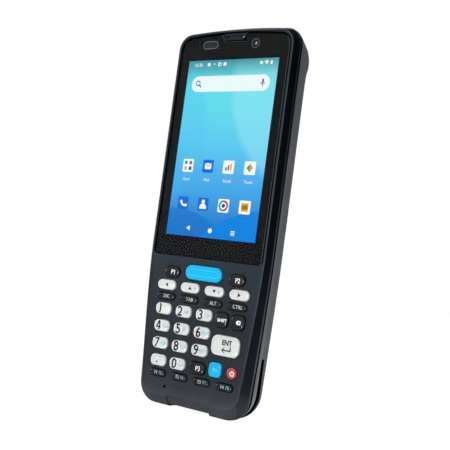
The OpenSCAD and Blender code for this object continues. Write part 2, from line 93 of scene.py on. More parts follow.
# Receiver notch in the upper edge of the glass, the tongue of the housing in it, and its slot.
NOTCH = [(-5.3, 178.4), (5.3, 178.4), (12, BODY_H + 1), (-12, BODY_H + 1)]
TONGUE = [(-4.9, 179.05), (4.9, 179.05), (7.1, 182.3), (-7.1, 182.3)]
SLOT = [(-4.4, 179.3), (4.4, 179.3), (6, 181.7), (-6, 181.7)]
SLOT_D = 0.7
CAMERA_AT = (12, 177)
SENSOR_AT = (-14.3, 177.2)
SENSOR_SIZE = (9.2, 4.2)
MIC_AT = (-14.1, 9.2)
MIC_R = 0.75
CAMERA_HOLE_R = 2.9
SOUND_WAY = [8.4, 2, 180.6]     # passage behind the receiver slot: width, height, and its middle
GLASS_GAP = 0.9      # gap between the cover glass and its seat
GROOVE_END = GASKET_D + 0.7         # behind the parting groove the rear housing steps out again here
GROOVE = 0.7                        # depth of the groove
BAND_TOP = 186       # upper end of the dark bands painted on the sides
FOOT_RECESS = [12.3, 0.95, 0.06]    # half-width, rise, and set-back at the front
PICTURE_D = 0.3      # depth of the lit picture under the face of the glass
SIDE_X = 17          # faces nearer to the middle than this belong to the ends, not to the sides
FAR_X = 40           # well past the sides and the back, for tools that cut right through
FAR_D = 30


def at(x, d, z):
    """A point of the terminal, in metres."""
    return Vector((x, GLASS_Y + d, z)) * MM


# ---------------------------------------------------------------- tools of the bench


def node(tree, kind, inputs=None, **settings):
    """Adds a node with its settings, and feeds its inputs with values or other nodes' outputs."""
    made = tree.nodes.new(kind)
    for name, value in settings.items():
        setattr(made, name, value)
    for name, value in (inputs or {}).items():
        if isinstance(value, bpy.types.NodeSocket):
            tree.links.new(value, made.inputs[name])
        else:
            made.inputs[name].default_value = value
    return made


def paint(hex_colour, alpha=1.0):
    """An sRGB hex colour as linear red, green, blue and alpha."""
    values = [int(hex_colour[i:i + 2], 16) / 255 for i in (1, 3, 5)]
    linear = [v / 12.92 if v <= 0.04045 else ((v + 0.055) / 1.055) ** 2.4 for v in values]
    return (*linear, alpha)


def nothing_selected():
    if bpy.context.object and bpy.context.object.mode != "OBJECT":
        bpy.ops.object.mode_set(mode="OBJECT")
    bpy.ops.object.select_all(action="DESELECT")


def pick(piece):
    """Makes one piece the only selected and active one."""
    nothing_selected()
    piece.select_set(True)
    bpy.context.view_layer.objects.active = piece


def crosses_middle(edge):
    """Whether an edge reaches the plane between left and right."""
    return edge.verts[0].co.x * edge.verts[1].co.x < 1e-12


def choose(piece, mesh, edges):
    """Selects these edges and nothing else."""
    for edge in mesh.edges:
        edge.select_set(False)
    for edge in edges:
        edge.select_set(True)
    bmesh.update_edit_mesh(piece.data)


def loft(name, rings, last="face"):
    """A closed solid through rings of points that match one to one.

    It starts as a circle laid on the first ring, is extruded from ring to ring, and is closed with
    one face, or with strips that bridge its left and right halves.
    """
    nothing_selected()
    count = len(rings[0])
    bpy.ops.mesh.primitive_circle_add(vertices=count, fill_type="NGON")
    piece = bpy.context.object
    piece.name = name
    bpy.ops.object.mode_set(mode="EDIT")
    mesh = bmesh.from_edit_mesh(piece.data)
    order = mesh.verts.layers.int.new("order")
    for vert in mesh.verts:
        vert[order] = vert.index
        vert.co = rings[0][vert.index]
    for face in mesh.faces:
        face.select_set(False)
    for edge in mesh.edges:
        edge.select_set(True)
    bmesh.update_edit_mesh(piece.data)
    bpy.ops.mesh.select_mode(type="EDGE")
    for ring in rings[1:]:
        bpy.ops.mesh.extrude_edges_move()
        mesh = bmesh.from_edit_mesh(piece.data)
        order = mesh.verts.layers.int["order"]
        for vert in mesh.verts:
            if vert.select:
                vert.co = ring[vert[order]]
        bmesh.update_edit_mesh(piece.data)
    if last == "face":
        bpy.ops.mesh.edge_face_add()
    else:
        mesh = bmesh.from_edit_mesh(piece.data)
        sides = [edge for edge in mesh.edges if edge.select and not crosses_middle(edge)]
        choose(piece, mesh, sides)
        bpy.ops.mesh.bridge_edge_loops()
        mesh = bmesh.from_edit_mesh(piece.data)
        choose(piece, mesh, [edge for edge in mesh.edges if edge.is_boundary])
        bpy.ops.mesh.edge_face_add()
    bpy.ops.mesh.select_all(action="SELECT")
    bpy.ops.mesh.normals_make_consistent(inside=False)
    bpy.ops.object.mode_set(mode="OBJECT")
    piece.data.attributes.remove(piece.data.attributes["order"])
    return piece


def ring_at(points, d):
    """A ring of points at one depth."""
    return [at(x, d, z) for x, z in points]


def between(ring_a, ring_b, share):
    """The ring that lies this share of the way from one ring to another."""
    return [a.lerp(b, share) for a, b in zip(ring_a, ring_b)]


def rounded(ring_a, corner, ring_b, steps=4):
    """Rings that turn smoothly from ring_a to ring_b past a corner ring."""
    turn = []
    for k in range(steps + 1):
        t = k / steps
        turn.append(between(between(ring_a, corner, t), between(corner, ring_b, t), t))
    return turn


def prism(name, points, d0, d1, flare=0.0):
    """A straight solid between two depths; a flare widens its front end, for a chamfered hole."""
    rings = [ring_at(points, d0), ring_at(points, d1)]
    if flare:
        rings = [ring_at(grown(points, flare * 2), -flare), ring_at(points, flare), ring_at(points, d1)]
    return loft(name, rings)


def turned(name, x, z, steps):
    """A round solid, as from a lathe, through steps of (radius, depth)."""
    return loft(name, [ring_at(disc(radius, x, z), d) for radius, d in steps])


def dome(r, tip, d, rise):
    """Steps of a domed lens: the radius falls from r + tip while the depth changes by the rise."""
    turns = [math.radians(18 * k) for k in range(5)]
    return [(r * math.cos(a) + tip, d + rise * math.sin(a)) for a in turns]


def grown(points, amount):
    """Points pushed outwards from their neighbours by an amount."""
    count = len(points)
    out = []
    for k in range(count):
        before, after = Vector(points[k - 1]), Vector(points[(k + 1) % count])
        along = (after - before).normalized()
        out.append((points[k][0] + along.y * amount, points[k][1] - along.x * amount))
    return out


def cut(piece, *tools, join="DIFFERENCE", lining=0):
    """Cuts the tools out of the piece, one after another, and throws the tools away.

    The faces that a tool leaves behind get the piece's material of that number.
    """
    for tool in tools:
        for face in tool.data.polygons:
            face.material_index = lining
        pick(piece)
        change = piece.modifiers.new("cut", "BOOLEAN")
        change.operation = join
        change.solver = "EXACT"
        change.object = tool
        bpy.ops.object.modifier_apply(modifier="cut")
        scrap = tool.data
        bpy.data.objects.remove(tool)
        bpy.data.meshes.remove(scrap)
    return piece


def joined(pieces, name):
    """Several pieces as one object."""
    nothing_selected()
    for piece in pieces:
        piece.select_set(True)
    bpy.context.view_layer.objects.active = pieces[0]
    if len(pieces) > 1:
        bpy.ops.object.join()
    pieces[0].name = name
    return pieces[0]


def shifted(piece, x=0.0, d=0.0, z=0.0):
    """Moves the mesh of a piece by millimetres."""
    piece.data.transform(Matrix.Translation(Vector((x, d, z)) * MM))
    return piece


def copy_of(piece, name, x=0.0, d=0.0, z=0.0):
    """A shifted copy with its own mesh."""
    made = piece.copy()
    made.data = piece.data.copy()
    made.name = name
    bpy.context.scene.collection.objects.link(made)
    return shifted(made, x, d, z)


def keep_side(piece, place, outwards):
    """Cuts a piece off at a plane, closes the cut, and drops what lies on the plane's outer side."""
    pick(piece)
    bpy.ops.object.mode_set(mode="EDIT")
    bpy.ops.mesh.select_all(action="SELECT")
    bpy.ops.mesh.bisect(plane_co=place, plane_no=outwards, use_fill=True, clear_outer=True)
    bpy.ops.object.mode_set(mode="OBJECT")
    return piece


def smooth(piece, degrees=35):
    """Shades the piece smoothly, apart from edges sharper than this."""
    pick(piece)
    bpy.ops.object.shade_smooth_by_angle(angle=math.radians(degrees))
    return piece


def soften(piece, width, segments=2, degrees=40):
    """Rounds off the sharp edges of a piece by a small width."""
    pick(piece)
    change = piece.modifiers.new("soften", "BEVEL")
    change.width = width * MM
    change.segments = segments
    change.limit_method = "ANGLE"
    change.angle_limit = math.radians(degrees)
    change.harden_normals = False
    bpy.ops.object.modifier_apply(modifier="soften")
    return piece


def clean(piece):
    """Merges doubles and turns every face outwards."""
    pick(piece)
    bpy.ops.object.mode_set(mode="EDIT")
    bpy.ops.mesh.select_all(action="SELECT")
    bpy.ops.mesh.remove_doubles(threshold=0.002 * MM)
    bpy.ops.mesh.normals_make_consistent(inside=False)
    bpy.ops.object.mode_set(mode="OBJECT")
    return piece


def fit(piece, body, slot, *nodes):
    """Hands a finished piece to its body, and lets it stand for its CAD nodes."""
    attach(piece, body)
    if nodes:
        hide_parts(*nodes)
    return piece


def dress(piece, *materials):
    """Gives a piece its materials; faces keep the number of the one they wear."""
    worn = [face.material_index for face in piece.data.polygons]
    piece.data.materials.clear()
    for material in materials:
        piece.data.materials.append(material)
    for face, number in zip(piece.data.polygons, worn):
        face.material_index = min(number, len(materials) - 1)
    return piece


def faces_where(piece, test, index):
    """Gives the faces that pass the test, by their middle in mm and their normal, a material slot."""
    for face in piece.data.polygons:
        c = face.center / MM
        if test(c.x, c.y - GLASS_Y, c.z, face.normal):
            face.material_index = index
    return piece


# ---------------------------------------------------------------- outlines


def half_width(line, z):
    """Half the width of an outline at a height: it tapers towards the foot."""
    draw_in = max(0, (TAPER_Z - z) / (TAPER_Z - LOW_Z)) ** TAPER_POWER
    return line[0] - (line[0] - line[1]) * draw_in


def arch(line, x, inset):
    """Height of an outline's arched top edge."""
    return line[3] - inset - line[6] * (x / ARCH_REF) ** 2


def outline(line, inset=0.0, lower_inset=None):
    """An outline as a closed loop of (x, z), drawn in by inset, and by lower_inset at its lower edge."""
    lower_inset = inset if lower_inset is None else lower_inset
    lower_r = max(line[4] - inset, 1.2)
    upper_r = max(line[5] - inset, 1.2)
    z1 = line[2] + lower_inset + lower_r
    x1 = half_width(line, z1) - inset - lower_r
    x2 = line[0] - inset - upper_r
    z2 = arch(line, x2, inset) - upper_r
    top_of_taper = max(TAPER_Z, z1 + 1)
    right = []
    for k in range(10):
        a = math.radians(-90 + 9 * k)
        right.append((x1 + lower_r * math.cos(a), z1 + lower_r * math.sin(a)))
    for k in range(13):
        z = z1 + (top_of_taper - z1) * k / 12
        right.append((half_width(line, z) - inset, z))
    for k in range(1, 12):
        z = top_of_taper + (z2 - top_of_taper) * (1 - (1 - k / 12) ** 1.6)
        right.append((line[0] - inset, z))
    for k in range(10):
        a = math.radians(9 * k)
        right.append((x2 + upper_r * math.cos(a), z2 + upper_r * math.sin(a)))
    for k in range(6):
        x = x2 * (1 - k / 6)
        right.append((x, arch(line, x, inset)))
    return right + [(0, arch(line, 0, inset))] + [(-x, z) for x, z in reversed(right)]


def round_rect(w, h, r, steps=6):
    """A rectangle with rounded corners, centred on the origin."""
    points = []
    for quarter, (sx, sz) in enumerate([(1, 1), (-1, 1), (-1, -1), (1, -1)]):
        for k in range(steps + 1):
            a = math.radians(90 * quarter + 90 * k / steps)
            points.append((sx * (w / 2 - r) + r * math.cos(a), sz * (h / 2 - r) + r * math.sin(a)))
    return points


def moved(points, x, z):
    return [(px + x, pz + z) for px, pz in points]


def disc(r, x=0.0, z=0.0, count=32):
    turns = [2 * math.pi * k / count for k in range(count)]
    return [(x + r * math.cos(a), z + r * math.sin(a)) for a in turns]


def box_tool(x0, x1, d0, d1, z0, z1):
    """A box between two corners, to cut with or to build up."""
    nothing_selected()
    low, high = at(x0, d0, z0), at(x1, d1, z1)
    bpy.ops.mesh.primitive_cube_add(size=1, location=(low + high) / 2)
    piece = bpy.context.object
    piece.scale = high - low
    bpy.ops.object.transform_apply(location=True, rotation=True, scale=True)
    return piece


# ---------------------------------------------------------------- materials


def shader(name, hex_colour, roughness, specular=0.5, metallic=0.0, ior=1.46, coat=0.0):
    """A named material with one Principled shader, and its tree for the pattern to be added."""
    material = bpy.data.materials.new(name)
    material.use_nodes = True
    tree = material.node_tree
    face = tree.nodes["Principled BSDF"]
    face.inputs["Base Color"].default_value = paint(hex_colour)
    face.inputs["Roughness"].default_value = roughness
    face.inputs["Metallic"].default_value = metallic
    if not metallic:
        face.inputs["IOR"].default_value = ior
        face.inputs["Specular IOR Level"].default_value = specular
    face.inputs["Coat Weight"].default_value = coat
    face.inputs["Coat Roughness"].default_value = 0.05
    return material, tree, face


def grain(tree, face, size, height, low, high, wear=0.0, stretch=(1, 1, 1)):
    """Surface grain of a real size in mm: it raises the surface, and shades it between two colours.

    Each colour is a hex colour, or the output of other nodes.
    """
    place = node(tree, "ShaderNodeTexCoord").outputs["Object"]
    place = node(tree, "ShaderNodeMapping", {"Vector": place, "Scale": stretch}).outputs["Vector"]
    fine = node(tree, "ShaderNodeTexNoise", {
        "Vector": place, "Scale": 1 / (size * MM), "Detail": 3.0, "Roughness": 0.6})
    broad = node(tree, "ShaderNodeTexNoise", {
        "Vector": place, "Scale": 1 / (14 * MM), "Detail": 2.0, "Roughness": 0.5})
    mottle = node(tree, "ShaderNodeMath", {
        0: fine.outputs["Fac"], 1: broad.outputs["Fac"]}, operation="ADD")
    mottle = node(tree, "ShaderNodeMapRange", {
        "Value": mottle.outputs["Value"], "From Min": 0.7, "From Max": 1.3})
    low, high = [paint(c) if isinstance(c, str) else c for c in (low, high)]
    mix = node(tree, "ShaderNodeMixRGB", {"Fac": mottle.outputs["Result"], "Color1": low, "Color2": high})
    tree.links.new(mix.outputs["Color"], face.inputs["Base Color"])
    bump = node(tree, "ShaderNodeBump", {
        "Height": fine.outputs["Fac"], "Distance": height * MM, "Strength": 1.0})
    tree.links.new(bump.outputs["Normal"], face.inputs["Normal"])
    if wear:
        base = face.inputs["Roughness"].default_value
        patchy = node(tree, "ShaderNodeMapRange", {
            "Value": broad.outputs["Fac"], "From Min": 0.3, "From Max": 0.7,
            "To Min": base - wear, "To Max": base + wear})
        tree.links.new(patchy.outputs["Result"], face.inputs["Roughness"])


def ramp(tree, share, stops):
    """Runs through a row of colours, each with its place between 0 and 1."""
    made = node(tree, "ShaderNodeValToRGB", {"Fac": share})
    while len(made.color_ramp.elements) < len(stops):
        made.color_ramp.elements.new(0.5)
    for element, (position, colour) in zip(made.color_ramp.elements, stops):
        element.position = position
        element.color = paint(colour)
    return made.outputs["Color"]


def by_height(tree, *stops):
    """Two colours that change with the height above the floor, from stops of (mm, darker, paler)."""
    place = node(tree, "ShaderNodeTexCoord").outputs["Object"]
    height = node(tree, "ShaderNodeSeparateXYZ", {0: place}).outputs["Z"]
    share = node(tree, "ShaderNodeMapRange", {"Value": height, "From Min": 0.0, "From Max": 200 * MM})
    return [ramp(tree, share.outputs["Result"], [(stop[0] / 200, stop[k]) for stop in stops]) for k in (1, 2)]


def front_plastic():
    # moulded PC-ABS, fine spark-eroded texture: dark slate, paler and warmer towards the foot as
    # painted light from below, darker at the very top as painted shade; soft sheen, no sharp reflection
    material, tree, face = shader("moulded_front_plastic", "#2b3238", 0.6, specular=0.04)
    grain(tree, face, 0.45, 0.012, *by_height(
        tree, (0, "#3f4147", "#484a50"), (5, "#383a40", "#414349"), (10, "#2d2f34", "#35373d"),
        (20, "#25292e", "#2c3036"), (40, "#22272c", "#292e34"), (80, "#252d34", "#2c353c"),
        (176, "#242c33", "#2a333a"), (186, "#191f24", "#1f252a")), wear=0.06)
    return material


def rim_painted_highlight():
    # the raised rim of the same moulding: a soft paler line, a painted highlight, paler still towards the
    # foot as painted light
    material, tree, face = shader("front_rim_painted_highlight", "#33383d", 0.4, specular=0.2)
    grain(tree, face, 0.45, 0.006, *by_height(
        tree, (0, "#36373b", "#3e3f43"), (60, "#31353a", "#393d42"), (150, "#2b3035", "#32373c")))
    return material


def side_painted_dark_reflection():
    # the sides of the front housing: painted near black as the dark reflection they show, paler
    # towards the foot as painted light from below, and paler at the top end as a painted highlight
    material, tree, face = shader("side_band_painted_dark_reflection", "#060a0f", 0.8, specular=0.0)
    grain(tree, face, 0.8, 0.004, *by_height(
        tree, (0, "#38393d", "#3e3f43"), (8, "#2c2e32", "#323438"), (15, "#191c20", "#1d2125"),
        (30, "#12161a", "#161a1f"), (57, "#0c1014", "#10151a"), (90, "#06090d", "#090d12"),
        (165, "#05070a", "#080b0f"), (178, "#080a0d", "#0c0f12"), (186, "#1a1e22", "#20252a")))
    return material


def edge_painted_shade_and_light():
    # the moulded edge beside the groove: painted near black above as shade, greyer towards the foot as
    # painted light
    material, tree, face = shader("moulded_edge_painted_shade_and_light", "#3a4046", 0.5, specular=0.04)
    grain(tree, face, 0.6, 0.004, *by_height(
        tree, (0, "#36393c", "#3e4144"), (25, "#3b3f43", "#43474b"), (57, "#2b3035", "#32373c"),
        (110, "#161a1e", "#1b1f23"), (165, "#090c0f", "#0d1013"), (179, "#0c0e11", "#101316"),
        (185, "#1a1e22", "#20252a")))
    return material


def rear_plastic():
    # moulded PC-ABS with a coarse eroded texture: matt, mid grey, faint speckle; paler towards the foot as
    # painted light from below, darker again at the very foot
    material, tree, face = shader("moulded_rear_plastic", "#43474b", 0.7, specular=0.25)
    grain(tree, face, 0.6, 0.03, *by_height(
        tree, (0, "#2f3234", "#383b3d"), (10, "#3a3e41", "#464a4c"), (20, "#404447", "#4d5154"),
        (60, "#3b3f43", "#464a4e"), (120, "#383c40", "#44484c")), wear=0.05)
    return material


def rear_edge():
    # front edge of the rear housing beside the strap slots: paler, as painted light, most of all at the foot
    material, tree, face = shader("rear_edge_painted_light", "#5c6063", 0.5, specular=0.25)
    grain(tree, face, 0.6, 0.02, *by_height(
        tree, (0, "#676b6d", "#747879"), (28, "#54585b", "#5f6366"), (45, "#43474b", "#4f5357"),
        (90, "#3b3f43", "#464a4e"), (130, "#383c40", "#44484c")))
    return material


def door_plastic():
    # the same coarse texture, moulded apart from the housing, so a shade darker
    material, tree, face = shader("moulded_door_plastic", "#3e4246", 0.72, specular=0.25)
    grain(tree, face, 0.6, 0.03, "#393d41", "#43474b", wear=0.05)
    return material


def seal_rubber_and_shade():
    # moulded silicone rubber: black, soft, hardly any sheen; the same black is laid in gaps, slots and
    # hollows as painted shade
    material, tree, face = shader("seal_rubber_and_painted_shade", "#040505", 0.9, specular=0.0, ior=1.41)
    grain(tree, face, 0.4, 0.01, "#030404", "#070808")
    return material


def clear_glass():
    # toughened cover glass with an anti-reflective coat: clear, and only a faint reflection
    material, tree, face = shader("toughened_cover_glass", "#ffffff", 0.02, ior=1.12)
    face.inputs["Transmission Weight"].default_value = 1.0
    smear = node(tree, "ShaderNodeTexNoise", {
        "Vector": node(tree, "ShaderNodeTexCoord").outputs["Object"],
        "Scale": 1 / (9 * MM), "Detail": 4.0})
    rough = node(tree, "ShaderNodeMapRange", {
        "Value": smear.outputs["Fac"], "From Min": 0.4, "From Max": 0.75, "To Min": 0.01, "To Max": 0.05})
    tree.links.new(rough.outputs["Result"], face.inputs["Roughness"])
    return material


def glass_edge_highlight():
    # the chamfer of the cover glass: a grey line, a painted highlight where it catches the light
    material, tree, face = shader("glass_edge_painted_highlight", "#474d52", 0.5, specular=0.2, ior=1.5)
    grain(tree, face, 0.3, 0.005, "#42484d", "#4c5257")
    return material


def border_ink():
    # black ceramic ink fired on the back of the glass: even, a touch warm
    material, tree, face = shader("screen_border_ink", "#141516", 0.7, specular=0.0)
    grain(tree, face, 0.5, 0.002, "#121314", "#161718")
    return material


def light_of(name, hex_colour):
    """Light of the display in one colour."""
    material = bpy.data.materials.new(name)
    material.use_nodes = True
    tree = material.node_tree
    tree.nodes.remove(tree.nodes["Principled BSDF"])
    glow = node(tree, "ShaderNodeEmission", {"Color": paint(hex_colour), "Strength": 1.0})
    tree.links.new(glow.outputs["Emission"], tree.nodes["Material Output"].inputs["Surface"])
    return material


def key_paint(name, hex_colour, hex_low, hex_high, roughness, specular, coat):
    material, tree, face = shader(name, hex_colour, roughness, specular=specular, ior=1.5, coat=coat)
    grain(tree, face, 0.9, 0.0015, hex_low, hex_high, wear=min(0.04, roughness / 2))
    return material


def silver_paint():
    # light grey paint under a clear coat: pale, glossy rims
    return key_paint("coated_silver_key", "#c4c6c4", "#bec0be", "#caccca", 0.28, 0.5, 0.4)


def black_gloss():
    # piano-black key caps, moulded in polished polycarbonate: deep black with sharp highlights
    return key_paint("gloss_black_key", "#0a0d10", "#080b0e", "#0d1013", 0.1, 0.25, 0.0)


def blue_gloss():
    # bright blue key caps, polished polycarbonate with a translucent depth
    return key_paint("gloss_blue_key", "#00a6d8", "#009fd2", "#02abdc", 0.15, 0.22, 0.0)


def blue_ridge_highlight():
    # the racetrack line on the scan key: a paler blue than the cap round it, a painted highlight
    return key_paint("blue_line_painted_highlight", "#1fc2ec", "#19beea", "#25c6ee", 0.12, 0.25, 0.0)


def red_gloss():
    # dull red power key, polished polycarbonate
    return key_paint("gloss_red_key", "#a2393f", "#9a3439", "#aa4046", 0.2, 0.3, 0.0)


def ink(name, hex_colour):
    # pad-printed ink: a thin matt film
    material, tree, face = shader(name, hex_colour, 0.6, specular=0.05)
    place = node(tree, "ShaderNodeTexCoord").outputs["Object"]
    film = node(tree, "ShaderNodeTexNoise", {"Vector": place, "Scale": 1 / (0.3 * MM), "Detail": 2.0})
    bump = node(tree, "ShaderNodeBump", {"Height": film.outputs["Fac"], "Distance": 0.002 * MM})
    tree.links.new(bump.outputs["Normal"], face.inputs["Normal"])
    return material


def plain_metal(name, hex_colour, roughness, size=0.5, stretch=(1, 1, 1)):
    material, tree, face = shader(name, hex_colour, roughness, metallic=1.0)
    grain(tree, face, size, 0.003, hex_colour, hex_colour, wear=min(0.08, roughness / 2), stretch=stretch)
    return material


def inner_plastic():
    # glass-filled moulding inside the body: black and dull
    material, tree, face = shader("inner_moulding", "#15171a", 0.6, specular=0.3)
    grain(tree, face, 0.5, 0.01, "#121417", "#1a1c1f")
    return material


def lens_black():
    # polished black acrylic over a lens: deep and glossy
    material, tree, face = shader("polished_black_acrylic", "#08090b", 0.06, specular=0.5, ior=1.49)
    grain(tree, face, 4, 0.001, "#07080a", "#0a0b0d")
    return material


def red_acrylic():
    # polished dark red acrylic that passes the aiming light: wine red, glossy
    material, tree, face = shader("polished_red_acrylic", "#3a0a10", 0.05, specular=0.5, ior=1.49, coat=0.5)
    grain(tree, face, 4, 0.001, "#35080e", "#420d14")
    return material


def solder_mask():
    # green solder mask over copper: deep green, with tracks just showing
    material, tree, face = shader("solder_mask", "#0d3a20", 0.35, specular=0.5, ior=1.5)
    place = node(tree, "ShaderNodeTexCoord").outputs["Object"]
    tracks = node(tree, "ShaderNodeTexBrick", {
        "Vector": place, "Scale": 1 / (3 * MM), "Mortar Size": 0.06,
        "Color1": paint("#0e4023"), "Color2": paint("#0b351c"), "Mortar": paint("#1c5c33")})
    tree.links.new(tracks.outputs["Color"], face.inputs["Base Color"])
    return material


def silicone():
    # translucent grey silicone mat: waxy and dull
    material, tree, face = shader("silicone_mat", "#8b9197", 0.6, specular=0.3, ior=1.41)
    face.inputs["Subsurface Weight"].default_value = 0.1
    face.inputs["Subsurface Radius"].default_value = (0.002, 0.002, 0.002)
    grain(tree, face, 0.5, 0.005, "#858b91", "#91979d")
    return material


def battery_wrap():
    # black polyester film round the cell: smooth, slightly creased
    material, tree, face = shader("battery_film", "#1a1b1e", 0.3, specular=0.5, ior=1.57)
    grain(tree, face, 6, 0.15, "#17181b", "#1e1f22", wear=0.08)
    return material


FRONT = front_plastic()
RIM_PLASTIC = rim_painted_highlight()
SIDE = side_painted_dark_reflection()
EDGE_SHADE_AND_LIGHT = edge_painted_shade_and_light()
REAR = rear_plastic()
REAR_EDGE = rear_edge()
DOOR = door_plastic()
SEAL_AND_SHADE = seal_rubber_and_shade()
GLASS = clear_glass()
GLASS_EDGE = glass_edge_highlight()
BORDER = border_ink()
SILVER = silver_paint()
BLACK = black_gloss()
BLUE = blue_gloss()
BLUE_RIDGE = blue_ridge_highlight()
RED = red_gloss()
BLACK_INK = ink("black_key_ink", "#08090a")
WHITE_INK = ink("white_key_ink", "#f2f4f5")
DULL_INK = ink("dull_white_key_ink", "#c2c7ca")
BLUE_INK = ink("blue_key_ink", "#6cb2d0")
PALE_BLUE_INK = ink("pale_blue_key_ink", "#7fd4f4")
INNER = inner_plastic()
LENS = lens_black()
RED_WINDOW = red_acrylic()
BOARD = solder_mask()
SILICONE = silicone()
WRAP = battery_wrap()
# stamped stainless steel, cold rolled: bright, finely brushed along its length
STEEL = plain_metal("stamped_steel", "#b9bcc0", 0.3, 0.3, stretch=(1, 1, 0.05))
# die-cast magnesium alloy: pale grey and matt
ALLOY = plain_metal("cast_alloy", "#a2a6aa", 0.5, 0.8)
# gold plating over nickel: warm and smooth
GOLD = plain_metal("gold_plating", "#d9a94e", 0.25, 0.4)
# woven acoustic cloth: dark blue-grey and dull
CLOTH = ink("acoustic_cloth", "#2b3138")
# screen-printed grey ink under the glass
GREY_INK = ink("grey_glass_ink", "#5e6367")
# the thinner print over the light sensor: dark grey, it lets some light through
SMOKE_INK = ink("smoked_glass_ink", "#1e2126")
# lens glass with an anti-reflective coat over a mirror-like iris
COATED_LENS = plain_metal("coated_lens", "#66676b", 0.25, 3)
# opal acrylic of the camera lamp: milky and pale
DIFFUSER = key_paint("opal_acrylic", "#d8d6c4", "#d2d0be", "#dedccb", 0.3, 0.5, 0.0)

# ---------------------------------------------------------------- front housing

KEY_GAP = 0.25
number_cap = (9.25, 5.5, 2.25, 0.7)
arrow_cap = (10.9, 4.7, 2.25, 0.7)
slim_cap = (10.6, 3.3, 1.6, 0.6)
foot_cap = (9.2, 3.2, 1.55, 0.6)
square_cap = (7.1, 6.9, 2.1, 0.7)
side_cap = (9, 5.2, 2.5, 0.7)
scan_cap = (21.1, 6.9, 3.4, 1.2)
enter_cap = (15.6, 9.4, 3.2, 0.7)
power_cap = (5.4, 5.4, 2.65, 0.7)

CAPS = {"p1": side_cap, "p2": side_cap, "p3": number_cap, "scan": scan_cap, "enter": enter_cap,
        "shift": square_cap, "backspace": square_cap, "fn": square_cap, "power": power_cap}
CAPS.update({name: arrow_cap for name in ("left", "up", "down", "right")})
CAPS.update({name: slim_cap for name in ("esc", "tab", "alt", "ctrl")})
CAPS.update({name: foot_cap for name in ("f1", "f2", "f3", "f4")})
CAPS.update({name: number_cap for name in ("1", "2", "3", "4", "5", "6", "7", "8", "9", "dot", "0")})


def key_place(name):
    """Middle of a key in the front view, from its CAD node."""
    low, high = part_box("key_" + name)
    middle = (low + high) / 2 / MM
    return middle.x, middle.z


def front_form(name):
    """The solid outside of the front housing: flat face, raised rim, bevel and side ridge."""
    rim_top = ring_at(outline(RIM_LINE, 0.05), -RIM + 0.04)
    brow = ring_at(outline(BROW_LINE), BROW_D)
    side = ring_at(outline(BODY_LINE, 0.12), PART_D - 1.25)
    rings = [ring_at(outline(PANEL_LINE), 0)]
    rings += [ring_at(outline(RIM_LINE, 0.42), -RIM + 0.06), ring_at(outline(RIM_LINE, 0.32), -RIM)]
    rings += [ring_at(outline(RIM_LINE, 0.15), -RIM), rim_top]
    rings += rounded(between(rim_top, brow, 0.55), brow, between(brow, side, 0.45))
    rings += [side] + [ring_at(outline(BODY_LINE, inset), PART_D - before)
                       for inset, before in ((0.02, 1.12), (0, 1.0), (0, 0.12), (0.1, 0))]
    return loft(name, rings)


